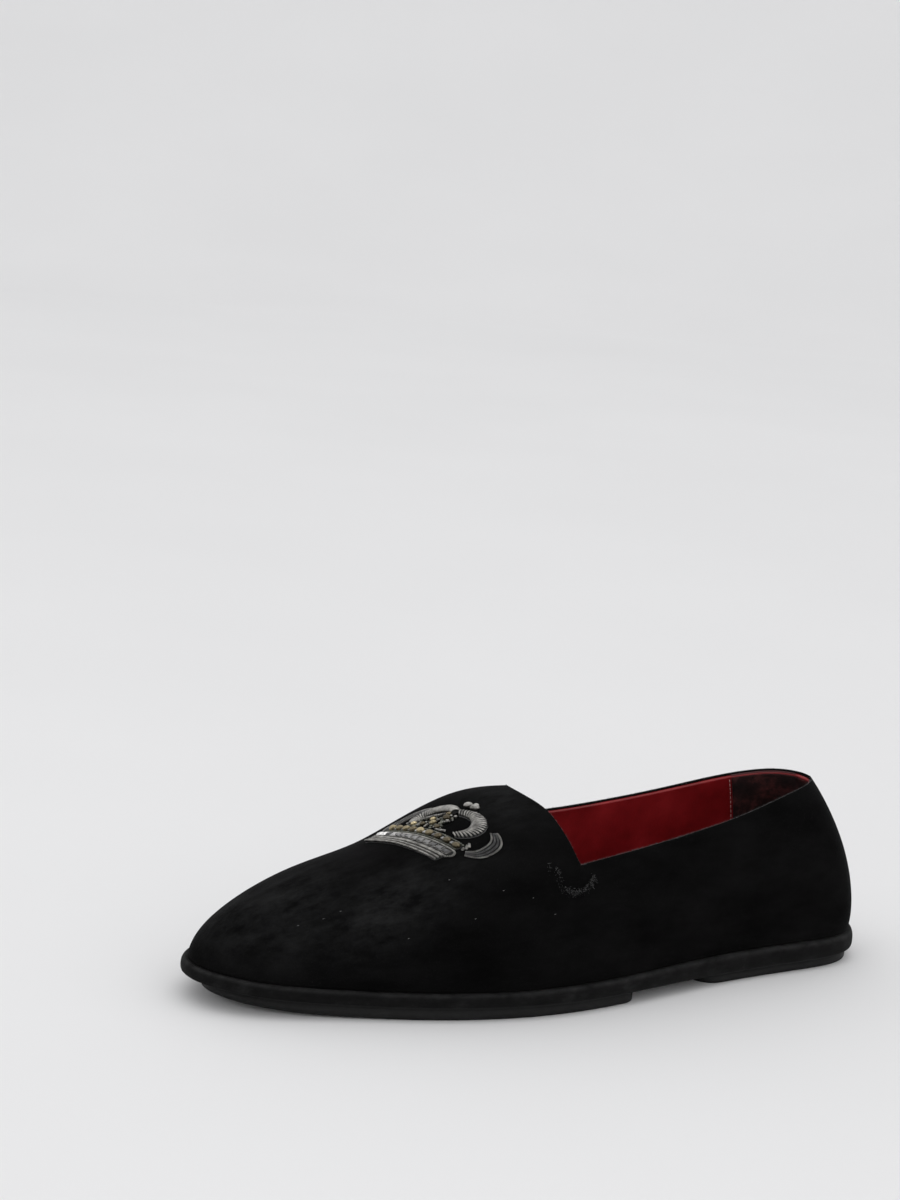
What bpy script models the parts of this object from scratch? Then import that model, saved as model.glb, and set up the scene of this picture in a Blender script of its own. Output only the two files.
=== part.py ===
"""Embellished loafer for the left foot.

A velvet upper on a wrapped midsole with two outsole pads, and a heraldic crown of wire-work on the vamp.
The shoe stands on its pads at z = 0 with the toe toward +X and the outer side of the foot toward +Y.
Sizes are in millimetres and become metres where a mesh is made.
"""
from collections import namedtuple

import bmesh
import bpy
import numpy as np

MM = 0.001
OUTER = 1
INNER = -1

# Driving sizes
LENGTH = 285.0
BALL_WIDTH = 99.0
UPPER_WALL = 2.2
PIECE_GAP = 0.3
MIDSOLE_REACH = 2.5
PAD_INSET = 0.2
PAD_EDGE = 0.8
INSOLE_THICK = 2.5
INSOLE_CLEAR = 1.2
HEEL_POLE = 0.115
TOE_POLE = 0.886
INNER_COLLAR_RISE = 3.6
INNER_RISE_FROM = 0.10
INNER_RISE_TO = 0.50
HEEL_PAD_END = 0.293
FOREFOOT_PAD_START = 0.416
PAD_CORNER = 8.5
PAD_TOE_SETBACK = 6.0
PAD_TOE_START = 0.80

# Feather line seen from above: shares of the length from the heel and of the ball width from the axis
PlanRow = namedtuple("PlanRow", "along across")
FEATHER_PLAN = [
    PlanRow(-0.036, 0.020), PlanRow(-0.002, 0.235), PlanRow(0.100, 0.300), PlanRow(0.250, 0.338),
    PlanRow(0.420, 0.426), PlanRow(0.560, 0.453), PlanRow(0.700, 0.380), PlanRow(0.840, 0.233),
    PlanRow(0.955, 0.085), PlanRow(1.000, -0.105), PlanRow(0.976, -0.285), PlanRow(0.895, -0.445),
    PlanRow(0.760, -0.520), PlanRow(0.620, -0.472), PlanRow(0.450, -0.330), PlanRow(0.250, -0.305),
    PlanRow(0.100, -0.285), PlanRow(-0.002, -0.200),
]

# Height of the feather line and thickness of the midsole and the pads along the length
SoleRow = namedtuple("SoleRow", "along feather midsole pad")
SOLE_PROFILE = [
    SoleRow(0.00, 12.6, 7.8, 4.5), SoleRow(0.25, 12.6, 7.8, 4.5), SoleRow(0.45, 11.9, 6.6, 5.0),
    SoleRow(0.65, 11.3, 5.7, 5.3), SoleRow(0.78, 11.5, 5.6, 5.3), SoleRow(0.90, 12.9, 5.6, 5.2),
    SoleRow(1.00, 15.6, 5.6, 5.0),
]

# Ridge of the last and the fullness of the ribs that rise to it from the feather line
RidgeRow = namedtuple("RidgeRow", "along height across rise crown flare")
RIDGE = [
    RidgeRow(0.10, 90.5, -1.5, 0.34, 0.48, 5.0), RidgeRow(0.25, 93.0, -1.0, 0.46, 0.53, 4.6),
    RidgeRow(0.40, 87.0, 0.0, 0.52, 0.52, 2.1), RidgeRow(0.50, 79.4, 0.0, 0.57, 0.60, 0.8),
    RidgeRow(0.60, 76.6, -3.0, 0.63, 0.61, 1.8), RidgeRow(0.70, 59.6, -7.0, 0.60, 0.62, 2.0),
    RidgeRow(0.80, 50.5, -10.0, 0.46, 0.62, 0.7), RidgeRow(0.90, 41.0, -11.0, 0.33, 0.63, -1.4),
]

# Top edge of the quarters, and the throat edge of the vamp
CollarRow = namedtuple("CollarRow", "along height")
COLLAR = [
    CollarRow(0.00, 75.4), CollarRow(0.06, 75.4), CollarRow(0.20, 68.0), CollarRow(0.35, 61.6),
    CollarRow(0.48, 57.7), CollarRow(0.60, 54.0),
]
ThroatRow = namedtuple("ThroatRow", "height along")
THROAT = [
    ThroatRow(20.0, 0.483), ThroatRow(50.0, 0.496), ThroatRow(58.0, 0.503), ThroatRow(66.0, 0.512),
    ThroatRow(72.0, 0.520), ThroatRow(76.5, 0.531), ThroatRow(79.5, 0.548), ThroatRow(100.0, 0.655),
]

# Side of the midsole from its lower to its upper edge
EdgeRow = namedtuple("EdgeRow", "reach rise")
MIDSOLE_EDGE = [
    EdgeRow(0.50, 0.00), EdgeRow(0.88, 0.08), EdgeRow(1.00, 0.35), EdgeRow(0.92, 0.72),
    EdgeRow(0.62, 0.95), EdgeRow(0.30, 1.00),
]

# Crown on the vamp, in its own directions: up from its base toward the throat, out from its middle line.
# The whole crown slants and leans, and its inner half is narrower by the inner share.
# A width is across the strip and a height stands off the velvet.
CROWN_AHEAD = 54.0
CROWN_HALF = 24.0
CROWN_BOW = 1.0
CROWN_SLANT = 0.30
CROWN_LEAN = 0.20
CROWN_SHIFT = 1.5
CROWN_INNER_SHARE = 0.72
CROWN_GAP = 0.4
StripRow = namedtuple("StripRow", "up out width")
Strip = namedtuple("Strip", "height steps look rows")
CROWN_BANDS = {
    "crown_cords": Strip(1.4, 16, "silver_wire", [
        StripRow(1.7, -20.6, 3.6), StripRow(1.7, 0.0, 3.6), StripRow(1.7, 20.6, 3.6)]),
    "crown_crystals": Strip(1.9, 16, "crystal", [
        StripRow(5.9, -21.8, 4.2), StripRow(5.9, 0.0, 4.2), StripRow(5.9, 21.8, 4.2)]),
    "crown_beads": Strip(2.2, 16, "champagne_bead", [
        StripRow(10.9, -20.3, 4.4), StripRow(10.9, 0.0, 4.4), StripRow(10.9, 20.3, 4.4)]),
    "crown_orb": Strip(2.6, 6, "silver_wire", [
        StripRow(31.5, -2.0, 2.4), StripRow(31.5, 1.0, 3.4), StripRow(31.5, 4.0, 2.4)]),
}
CROWN_ARCH = Strip(2.6, 20, "silver_wire", [
    StripRow(26.6, 1.6, 3.2), StripRow(27.6, 6.2, 4.4), StripRow(26.4, 11.2, 5.4), StripRow(22.8, 14.6, 5.4),
    StripRow(18.2, 15.0, 4.4), StripRow(14.9, 12.8, 2.6)])
CROWN_LOOP = Strip(1.0, 14, "grey_wire", [
    StripRow(10.4, 24.0, 2.4), StripRow(13.2, 26.2, 3.6), StripRow(19.0, 26.3, 4.2),
    StripRow(24.2, 23.6, 3.8), StripRow(26.5, 19.2, 2.4)])
StripEdge = namedtuple("StripEdge", "across rise")
STRIP_EDGE = [
    StripEdge(-1.0, 0.0), StripEdge(-0.8, 0.62), StripEdge(-0.3, 1.0), StripEdge(0.3, 1.0),
    StripEdge(0.8, 0.62), StripEdge(1.0, 0.0), StripEdge(0.33, 0.0), StripEdge(-0.33, 0.0),
]

# Stations along the length and levels up the wall
END_STATIONS = 38
STATION_GAP = 0.01
CORNER_STATIONS = 5
NOTCH_STATIONS = 9
NOTCH_START = 0.40
CREST_STEPS = (0.7, 1.9, 3.5, 5.4, 7.6, 10.2, 13.2)
AHEAD_OF_CREST = 0.02
WALL_LEVELS = 11
CUT_SAMPLES = 90
PLAN_SAMPLES = 1600
CREST_RANGE = (0.35, 0.75)
HALVINGS = 40
VAMP_RIBS = 160
VAMP_LEVELS = 70
VAMP_CUTS = 120
VAMP_END = 0.90
BEHIND_CREST = 0.12

Look = namedtuple("Look", "color roughness metallic")
LOOKS = {
    "velvet": Look((0.006, 0.006, 0.007), 0.85, 0.0),
    "insole_leather": Look((0.30, 0.012, 0.016), 0.50, 0.0),
    "midsole_suede": Look((0.018, 0.018, 0.019), 0.80, 0.0),
    "pad_rubber": Look((0.008, 0.008, 0.009), 0.65, 0.0),
    "silver_wire": Look((0.55, 0.54, 0.52), 0.35, 1.0),
    "grey_wire": Look((0.22, 0.22, 0.22), 0.45, 1.0),
    "crystal": Look((0.75, 0.76, 0.78), 0.08, 0.0),
    "champagne_bead": Look((0.60, 0.48, 0.28), 0.20, 0.6),
}


def spline(knots, values, at):
    """Natural cubic spline through the rows of values."""
    knots = np.asarray(knots, float)
    values = np.asarray(values, float).reshape(len(knots), -1)
    gaps = np.diff(knots)
    count = len(knots)
    matrix = np.eye(count)
    rates = np.zeros_like(values)
    for i in range(1, count - 1):
        matrix[i, i - 1:i + 2] = gaps[i - 1], 2 * (gaps[i - 1] + gaps[i]), gaps[i]
        rise_after = (values[i + 1] - values[i]) / gaps[i]
        rise_before = (values[i] - values[i - 1]) / gaps[i - 1]
        rates[i] = 6 * (rise_after - rise_before)
    bend = np.linalg.solve(matrix, rates)
    at = np.asarray(at, float)
    span = np.clip(np.searchsorted(knots, at, side="right") - 1, 0, count - 2)
    gap = gaps[span][..., None]
    step = (at - knots[span])[..., None]
    slope = (values[span + 1] - values[span]) / gap - gap * (2 * bend[span] + bend[span + 1]) / 6
    curve = step * (bend[span] / 2 + step * (bend[span + 1] - bend[span]) / (6 * gap))
    return values[span] + step * (slope + curve)


def column(rows, key, name, at):
    """One column of a table as a smooth function of its key column."""
    keys = [getattr(row, key) for row in rows]
    values = [getattr(row, name) for row in rows]
    return spline(keys, values, at)[..., 0]


def closed_curve(points, count):
    """Smooth closed curve through the points, evenly spaced, starting at the first."""
    wrap = 4
    around = np.concatenate([points[-wrap:], points, points[:wrap + 1]])
    chords = np.linalg.norm(np.diff(around, axis=0), axis=1) ** 0.5
    keys = np.concatenate([[0.0], np.cumsum(chords)])
    fine = spline(keys, around, np.linspace(keys[wrap], keys[wrap + len(points)], 4 * count))
    run = np.concatenate([[0.0], np.cumsum(np.linalg.norm(np.diff(fine, axis=0), axis=1))])
    even = np.linspace(0.0, run[-1], count, endpoint=False)
    return np.column_stack([np.interp(even, run, fine[:, axis]) for axis in (0, 1)])


def feather_halves():
    """Both halves of the feather line from heel to toe: share of the length, x, y and outward normal."""
    plan = np.array([(row.along * LENGTH, row.across * BALL_WIDTH) for row in FEATHER_PLAN])
    curve = closed_curve(plan, PLAN_SAMPLES)
    curve = np.roll(curve, -np.argmin(curve[:, 0]), axis=0)
    toe = np.argmax(curve[:, 0])
    ahead = curve[:toe + 1]
    back = np.concatenate([curve[toe:], curve[:1]])[::-1]
    halves = {}
    for side, half in ((OUTER, ahead), (INNER, back)):
        run = np.gradient(half, axis=0)
        run /= np.linalg.norm(run, axis=1)[:, None]
        normal = side * np.column_stack([-run[:, 1], run[:, 0]])
        normal[0] = (-1.0, 0.0)
        normal[-1] = (1.0, 0.0)
        share = (half[:, 0] - half[0, 0]) / (half[-1, 0] - half[0, 0])
        halves[side] = np.column_stack([share, half, normal])
    return halves


HALVES = feather_halves()
OUTLINE_START = HALVES[OUTER][0, 1]
OUTLINE_LENGTH = HALVES[OUTER][-1, 1] - OUTLINE_START


def plan_point(share, side, reach=0.0):
    """Point of the feather line on one side, moved outward by the reach, with the outward normal."""
    table = HALVES[side]
    x, y, normal_x, normal_y = [np.interp(share, table[:, 0], table[:, i]) for i in (1, 2, 3, 4)]
    size = np.hypot(normal_x, normal_y)
    normal = np.stack([normal_x / size, normal_y / size], -1)
    return np.stack([x, y], -1) + np.asarray(reach)[..., None] * normal, normal


def feather_height(x):
    return column(SOLE_PROFILE, "along", "feather", np.asarray(x) / LENGTH)


def midsole_thickness(x):
    return column(SOLE_PROFILE, "along", "midsole", np.asarray(x) / LENGTH)


def midsole_bottom(x):
    return feather_height(x) - midsole_thickness(x)


def pad_bottom(x):
    """Underside of the pads: flat on the floor, lifted only by the toe spring."""
    drop = PIECE_GAP + column(SOLE_PROFILE, "along", "pad", np.asarray(x) / LENGTH)
    return np.maximum(midsole_bottom(x) - drop, 0.0)


def ridge_share(share):
    """Place on the ridge where the rib from this place on the feather line ends."""
    return HEEL_POLE + (TOE_POLE - HEEL_POLE) * share


def rib_points(share, side, t):
    """Outer face of the upper: t runs from the feather line (0) to the ridge of the last (1)."""
    foot, normal = plan_point(share, side)
    at = ridge_share(share)
    height, across, rise, crown, flare = [column(RIDGE, "along", name, at) for name in RidgeRow._fields[1:]]
    nudge = 0.001
    ahead = column(RIDGE, "along", "height", at + nudge)
    behind = column(RIDGE, "along", "height", at - nudge)
    slope = (ahead - behind) / (2 * nudge * LENGTH)
    start = np.column_stack([foot, feather_height(foot[:, 0])])
    end = np.column_stack([at * LENGTH, across, height])
    low = start.copy()
    low[:, :2] += normal * flare[:, None]
    low[:, 2] += rise * (height - start[:, 2])
    spread = crown[:, None] * (start[:, :2] - end[:, :2])
    high = end + np.column_stack([spread, spread[:, 0] * slope])
    t = t[..., None]
    return ((1 - t) ** 3 * start[:, None] + 3 * (1 - t) ** 2 * t * low[:, None]
            + 3 * (1 - t) * t ** 2 * high[:, None] + t ** 3 * end[:, None])


def collar_height(x, side):
    base = column(COLLAR, "along", "height", x / LENGTH)
    if side == OUTER:
        return base
    part = (x / LENGTH - INNER_RISE_FROM) / (INNER_RISE_TO - INNER_RISE_FROM)
    return base + INNER_COLLAR_RISE * np.clip(part, 0.0, 1.0)


def throat_place(z):
    return LENGTH * column(THROAT, "height", "along", z)


def opening(points, side):
    """Above zero where the shoe is open: over the quarters' top edge and behind the throat edge."""
    x, z = points[..., 0], points[..., 2]
    return np.minimum(z - collar_height(x, side), throat_place(z) - x)


def crest_share():
    """Place on the feather line whose rib meets the ridge at the throat edge."""
    low, high = CREST_RANGE
    for _ in range(HALVINGS):
        middle = (low + high) / 2
        top = rib_points(np.array([middle]), OUTER, np.ones((1, 1)))[0, 0]
        if throat_place(top[2]) > top[0]:
            low = middle
        else:
            high = middle
    return high


def stations():
    """Shares of the length: close together at both ends and around the throat."""
    ends = (1 - np.cos(np.linspace(0, np.pi, END_STATIONS))) / 2
    crest = crest_share()
    behind = crest - np.array(CREST_STEPS) / LENGTH
    notch = np.linspace(NOTCH_START, behind.min() - STATION_GAP, NOTCH_STATIONS)
    ends = ends[(ends < NOTCH_START - STATION_GAP) | (ends > crest + AHEAD_OF_CREST)]
    return np.sort(np.concatenate([ends, notch, behind, [crest, crest + AHEAD_OF_CREST / 2]]))


def cut_level(share, side):
    """How far up each rib the wall reaches: to the ridge, or to the edge of the opening."""
    t = np.tile(np.linspace(0, 1, CUT_SAMPLES), (len(share), 1))
    amount = opening(rib_points(share, side, t), side)
    level = np.ones(len(share))
    crest = crest_share()
    for i, row in enumerate(amount):
        if share[i] >= crest:
            continue
        first = int(np.argmax(row > 0))
        part = row[first - 1] / (row[first - 1] - row[first])
        level[i] = (first - 1 + part) / (CUT_SAMPLES - 1)
    return level


def wall_sheet():
    """Rows of points of the upper's outer face, one grid for each side."""
    share = stations()
    grids = {}
    for side in (OUTER, INNER):
        t = cut_level(share, side)[:, None] * np.linspace(0, 1, WALL_LEVELS)
        grids[side] = rib_points(share, side, t)
    for end in (0, -1):
        grids[INNER][end] = grids[OUTER][end]
    return grids


def add_material(obj, look_name):
    look = LOOKS[look_name]
    material = bpy.data.materials.get(look_name) or bpy.data.materials.new(look_name)
    material.use_nodes = True
    shader = material.node_tree.nodes["Principled BSDF"]
    shader.inputs["Base Color"].default_value = (*look.color, 1.0)
    shader.inputs["Roughness"].default_value = look.roughness
    shader.inputs["Metallic"].default_value = look.metallic
    obj.data.materials.append(material)


def add_object(name, points, faces, look_name):
    """One object from points in millimetres, with meeting points welded and faces turned outward."""
    mesh = bmesh.new()
    corners = [mesh.verts.new(MM * (point - CENTRE)) for point in points]
    for face in faces:
        mesh.faces.new([corners[i] for i in face])
    bmesh.ops.remove_doubles(mesh, verts=mesh.verts, dist=0.02 * MM)
    bmesh.ops.recalc_face_normals(mesh, faces=mesh.faces)
    data = bpy.data.meshes.new(name)
    mesh.to_mesh(data)
    mesh.free()
    data.shade_smooth()
    obj = bpy.data.objects.new(name, data)
    bpy.context.collection.objects.link(obj)
    add_material(obj, look_name)
    return obj


def grid_faces(rows, columns, first):
    """Quads of a grid of points stored row by row from the index given."""
    faces = []
    for i in range(rows - 1):
        for j in range(columns - 1):
            corner = first + i * columns + j
            faces.append((corner, corner + 1, corner + columns + 1, corner + columns))
    return faces


def add_upper():
    """Hollow upper: the outer face thickened inward by the wall."""
    grids = wall_sheet()
    rows = len(grids[OUTER])
    points = np.concatenate([grids[side].reshape(-1, 3) for side in (OUTER, INNER)])
    faces = grid_faces(rows, WALL_LEVELS, 0) + [
        face[::-1] for face in grid_faces(rows, WALL_LEVELS, rows * WALL_LEVELS)]
    upper = add_object("upper", points, faces, "velvet")
    wall = upper.modifiers.new("wall", "SOLIDIFY")
    wall.thickness = UPPER_WALL * MM
    wall.offset = -1.0
    wall.use_rim = True
    return upper


def add_slab(name, share, layers, look_name):
    """Solid between stacked outlines; a layer is its reach past the feather line and its height."""
    count = len(share)
    points = []
    for reach, height in layers:
        for side in (OUTER, INNER):
            plan, _ = plan_point(share, side, reach(share))
            for end, x in ((0, share[0]), (-1, share[-1])):
                if 0.0 < x < 1.0:
                    plan[end, 0] = OUTLINE_START + x * OUTLINE_LENGTH
            points.append(np.column_stack([plan, height(plan[:, 0])]))
    points = np.concatenate(points)

    def corner(layer, side, i):
        return (2 * layer + side) * count + i

    faces = []
    for layer in range(len(layers) - 1):
        for side in (0, 1):
            for i in range(count - 1):
                faces.append((corner(layer, side, i), corner(layer, side, i + 1),
                              corner(layer + 1, side, i + 1), corner(layer + 1, side, i)))
        for end in (0, count - 1):
            faces.append((corner(layer, 0, end), corner(layer, 1, end),
                          corner(layer + 1, 1, end), corner(layer + 1, 0, end)))
    for layer in (0, len(layers) - 1):
        for i in range(count - 1):
            faces.append((corner(layer, 0, i), corner(layer, 0, i + 1),
                          corner(layer, 1, i + 1), corner(layer, 1, i)))
    return add_object(name, points, faces, look_name)


def add_midsole(share):
    layers = []
    for edge in MIDSOLE_EDGE:
        def reach(places, part=edge.reach):
            return np.full(len(places), part * MIDSOLE_REACH)

        def height(x, rise=edge.rise):
            return midsole_bottom(x) + rise * (midsole_thickness(x) - PIECE_GAP)

        layers.append((reach, height))
    return add_slab("midsole", share, layers, "midsole_suede")


def pad_stations(share, low, high):
    """Stations of a pad between two places, closer together round the corners of a straight end."""
    turn = np.linspace(0.0, np.pi / 2, CORNER_STATIONS)
    corner = PAD_CORNER * (1 - np.cos(turn)) / OUTLINE_LENGTH
    start = low + corner if low > 0.0 else np.array([low])
    end = high - corner[::-1] if high < 1.0 else np.array([high])
    inside = share[(share > start[-1] + STATION_GAP / 2) & (share < end[0] - STATION_GAP / 2)]
    return np.concatenate([start, inside, end])


def add_pad(name, share):
    """Thin pad with a broken lower edge; a straight end has round corners."""
    inward = np.full(len(share), PAD_CORNER)
    if share[0] > 0.0:
        inward = np.minimum(inward, (share - share[0]) * OUTLINE_LENGTH)
    if share[-1] < 1.0:
        inward = np.minimum(inward, (share[-1] - share) * OUTLINE_LENGTH)
    rounding = PAD_CORNER - np.sqrt(PAD_CORNER ** 2 - (PAD_CORNER - inward) ** 2)

    def top(x):
        return midsole_bottom(x) - PIECE_GAP

    def shoulder(x):
        return pad_bottom(x) + PAD_EDGE

    def side(places):
        toward_toe = np.clip((places - PAD_TOE_START) / (1 - PAD_TOE_START), 0.0, 1.0)
        return -PAD_INSET - PAD_TOE_SETBACK * toward_toe ** 2 - rounding

    def foot(places):
        return side(places) - PAD_EDGE

    layers = [(foot, pad_bottom), (side, shoulder), (side, top)]
    return add_slab(name, share, layers, "pad_rubber")


def add_insole(share):
    def reach(places):
        return np.full(len(places), -UPPER_WALL - INSOLE_CLEAR)

    def top(x):
        return feather_height(x) + INSOLE_THICK

    return add_slab("insole", share, [(reach, feather_height), (reach, top)], "insole_leather")


def vamp_sections():
    """Cross-sections of the vamp from the throat crest toward the toe, each at one place along the length."""
    crest = crest_share()
    share = np.linspace(crest - BEHIND_CREST, 0.999, VAMP_RIBS)
    t = np.linspace(1, 0, VAMP_LEVELS)
    ridge = rib_points(np.linspace(crest, VAMP_END, VAMP_CUTS), OUTER, np.ones((VAMP_CUTS, 1)))[:, 0]
    run = np.concatenate([[0.0], np.cumsum(np.linalg.norm(np.diff(ridge, axis=0), axis=1))])
    sections = {}
    for side in (OUTER, INNER):
        ribs = rib_points(share, side, np.tile(t, (len(share), 1)))
        curves = []
        for x in ridge[:, 0]:
            at = [np.interp(x, ribs[:, j, 0], share) for j in range(len(t))]
            cut = [[np.interp(at[j], share, ribs[:, j, axis]) for axis in (1, 2)] for j in range(len(t))]
            curves.append(np.column_stack([np.full(len(t), x), cut]))
        curves = np.array(curves)
        steps = np.linalg.norm(np.diff(curves, axis=1), axis=2)
        length = np.concatenate([np.zeros((len(curves), 1)), np.cumsum(steps, axis=1)], axis=1)
        sections[side] = curves, length
    return run, sections


VAMP_RUN, VAMP_SECTIONS = vamp_sections()


def vamp_point(ahead, across):
    """Points of the vamp: ahead of the throat crest along the ridge, across it toward the outer side."""
    place = np.interp(ahead, VAMP_RUN, np.arange(len(VAMP_RUN)))
    below = np.clip(place.astype(int), 0, len(VAMP_RUN) - 2)
    part = place - below
    points = np.zeros((len(place), 3))
    for side in (OUTER, INNER):
        curves, length = VAMP_SECTIONS[side]
        for i in np.flatnonzero(np.where(across < 0, INNER, OUTER) == side):
            for row, weight in ((below[i], 1 - part[i]), (below[i] + 1, part[i])):
                spot = [np.interp(abs(across[i]), length[row], curves[row, :, axis]) for axis in range(3)]
                points[i] += weight * np.array(spot)
    return points


def crown_point(up, out, lift):
    """Points over the vamp in the crown's own directions; its base bows toward the toe in the middle."""
    ahead = CROWN_AHEAD - up - CROWN_BOW * (out / CROWN_HALF) ** 2 - CROWN_SLANT * out
    across = CROWN_SHIFT + CROWN_LEAN * up + np.where(out < 0, CROWN_INNER_SHARE, 1.0) * out
    step = 0.5
    along = vamp_point(ahead - step, across) - vamp_point(ahead + step, across)
    aside = vamp_point(ahead, across + step) - vamp_point(ahead, across - step)
    normal = np.cross(along, aside)
    normal *= np.sign(normal[:, 2])[:, None] / np.linalg.norm(normal, axis=1)[:, None]
    return vamp_point(ahead, across) + lift[:, None] * normal


def strip_line(strip):
    """Middle line of a strip with its width, and its heading, evenly stepped."""
    rows = np.array(strip.rows, float)
    keys = np.concatenate([[0.0], np.cumsum(np.linalg.norm(np.diff(rows[:, :2], axis=0), axis=1))])
    at = np.linspace(0.0, keys[-1], strip.steps + 1)
    nudge = 0.05
    line = spline(keys, rows, at)
    ahead = spline(keys, rows, at + nudge) - spline(keys, rows, at - nudge)
    heading = ahead[:, :2] / np.linalg.norm(ahead[:, :2], axis=1)[:, None]
    return line, heading


def add_strip(name, strip, side=OUTER):
    """Raised strip that follows the vamp: half round on top, a hair off the velvet below."""
    line, heading = strip_line(strip)
    count, ring = len(line), len(STRIP_EDGE)
    spots = []
    for edge in STRIP_EDGE:
        reach = edge.across * line[:, 2] / 2
        up = line[:, 0] - heading[:, 1] * reach
        out = side * (line[:, 1] + heading[:, 0] * reach)
        spots.append(crown_point(up, out, np.full(count, CROWN_GAP + edge.rise * strip.height)))
    points = np.stack(spots, axis=1).reshape(-1, 3)
    faces = [tuple(range(ring)), tuple((count - 1) * ring + j for j in range(ring))]
    for i in range(count - 1):
        for j in range(ring):
            k = (j + 1) % ring
            faces.append((i * ring + j, i * ring + k, (i + 1) * ring + k, (i + 1) * ring + j))
    return add_object(name, points, faces, strip.look)


def add_crown():
    for name, strip in CROWN_BANDS.items():
        add_strip(name, strip)
    for side, word in ((OUTER, "outer"), (INNER, "inner")):
        add_strip("crown_arch_" + word, CROWN_ARCH, side)
        add_strip("crown_loop_" + word, CROWN_LOOP, side)


def bounds_centre():
    """Middle of the midsole and the upper seen from above, so that the shoe stands over the origin."""
    share = np.linspace(0, 1, 400)
    edges = [plan_point(share, side, MIDSOLE_REACH)[0] for side in (OUTER, INNER)]
    walls = [grid[..., :2].reshape(-1, 2) for grid in wall_sheet().values()]
    everything = np.concatenate(edges + walls)
    middle = (everything.min(axis=0) + everything.max(axis=0)) / 2
    return np.array([middle[0], middle[1], 0.0])


for old in list(bpy.data.objects):
    bpy.data.objects.remove(old, do_unlink=True)

CENTRE = bounds_centre()
WHOLE = stations()
add_upper()
add_midsole(WHOLE)
add_pad("outsole_forefoot", pad_stations(WHOLE, FOREFOOT_PAD_START, 1.0))
add_pad("outsole_heel", pad_stations(WHOLE, 0.0, HEEL_PAD_END))
add_insole(WHOLE)
add_crown()
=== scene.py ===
"""Looks of the embellished loafer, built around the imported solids.

The tables and shape functions are the part's own, in millimetres from the heel, so that velvet, lining,
sole and crown lie on the solids that they stand for. They become metres in the row's frame where a mesh is
made.
"""
from collections import namedtuple

import bmesh
import bpy
import numpy as np
from mathutils import Matrix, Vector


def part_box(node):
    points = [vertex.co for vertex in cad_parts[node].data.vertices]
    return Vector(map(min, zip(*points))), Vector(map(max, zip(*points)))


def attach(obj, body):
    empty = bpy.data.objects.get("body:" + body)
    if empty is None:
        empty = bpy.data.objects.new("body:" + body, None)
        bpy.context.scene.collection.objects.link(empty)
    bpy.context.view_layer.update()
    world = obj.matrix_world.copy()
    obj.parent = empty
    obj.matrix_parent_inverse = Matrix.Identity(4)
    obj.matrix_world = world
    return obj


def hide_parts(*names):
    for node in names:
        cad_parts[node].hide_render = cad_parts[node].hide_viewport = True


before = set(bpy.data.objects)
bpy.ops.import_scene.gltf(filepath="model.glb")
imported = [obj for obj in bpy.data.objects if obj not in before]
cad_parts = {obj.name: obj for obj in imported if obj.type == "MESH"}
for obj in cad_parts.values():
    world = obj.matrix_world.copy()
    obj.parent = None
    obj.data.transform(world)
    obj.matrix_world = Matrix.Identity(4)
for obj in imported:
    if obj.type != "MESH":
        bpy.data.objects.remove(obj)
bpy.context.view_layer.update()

MM = 0.001
OUTER = 1
INNER = -1

# Driving sizes
LENGTH = 285.0
BALL_WIDTH = 99.0
UPPER_WALL = 2.2
PIECE_GAP = 0.3
MIDSOLE_REACH = 2.5
PAD_INSET = 0.2
PAD_EDGE = 0.8
INSOLE_THICK = 2.5
INSOLE_CLEAR = 1.2
HEEL_POLE = 0.115
TOE_POLE = 0.886
INNER_COLLAR_RISE = 3.6
INNER_RISE_FROM = 0.10
INNER_RISE_TO = 0.50
HEEL_PAD_END = 0.293
FOREFOOT_PAD_START = 0.416
PAD_CORNER = 8.5
PAD_TOE_SETBACK = 6.0
PAD_TOE_START = 0.80

# Feather line seen from above: shares of the length from the heel and of the ball width from the axis
PlanRow = namedtuple("PlanRow", "along across")
FEATHER_PLAN = [
    PlanRow(-0.036, 0.020), PlanRow(-0.002, 0.235), PlanRow(0.100, 0.300), PlanRow(0.250, 0.338),
    PlanRow(0.420, 0.426), PlanRow(0.560, 0.453), PlanRow(0.700, 0.380), PlanRow(0.840, 0.233),
    PlanRow(0.955, 0.085), PlanRow(1.000, -0.105), PlanRow(0.976, -0.285), PlanRow(0.895, -0.445),
    PlanRow(0.760, -0.520), PlanRow(0.620, -0.472), PlanRow(0.450, -0.330), PlanRow(0.250, -0.305),
    PlanRow(0.100, -0.285), PlanRow(-0.002, -0.200),
]

# Height of the feather line and thickness of the midsole and the pads along the length
SoleRow = namedtuple("SoleRow", "along feather midsole pad")
SOLE_PROFILE = [
    SoleRow(0.00, 12.6, 7.8, 4.5), SoleRow(0.25, 12.6, 7.8, 4.5), SoleRow(0.45, 11.9, 6.6, 5.0),
    SoleRow(0.65, 11.3, 5.7, 5.3), SoleRow(0.78, 11.5, 5.6, 5.3), SoleRow(0.90, 12.9, 5.6, 5.2),
    SoleRow(1.00, 15.6, 5.6, 5.0),
]

# Ridge of the last and the fullness of the ribs that rise to it from the feather line
RidgeRow = namedtuple("RidgeRow", "along height across rise crown flare")
RIDGE = [
    RidgeRow(0.10, 90.5, -1.5, 0.34, 0.48, 5.0), RidgeRow(0.25, 93.0, -1.0, 0.46, 0.53, 4.6),
    RidgeRow(0.40, 87.0, 0.0, 0.52, 0.52, 2.1), RidgeRow(0.50, 79.4, 0.0, 0.57, 0.60, 0.8),
    RidgeRow(0.60, 76.6, -3.0, 0.63, 0.61, 1.8), RidgeRow(0.70, 59.6, -7.0, 0.60, 0.62, 2.0),
    RidgeRow(0.80, 50.5, -10.0, 0.46, 0.62, 0.7), RidgeRow(0.90, 41.0, -11.0, 0.33, 0.63, -1.4),
]

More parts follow.
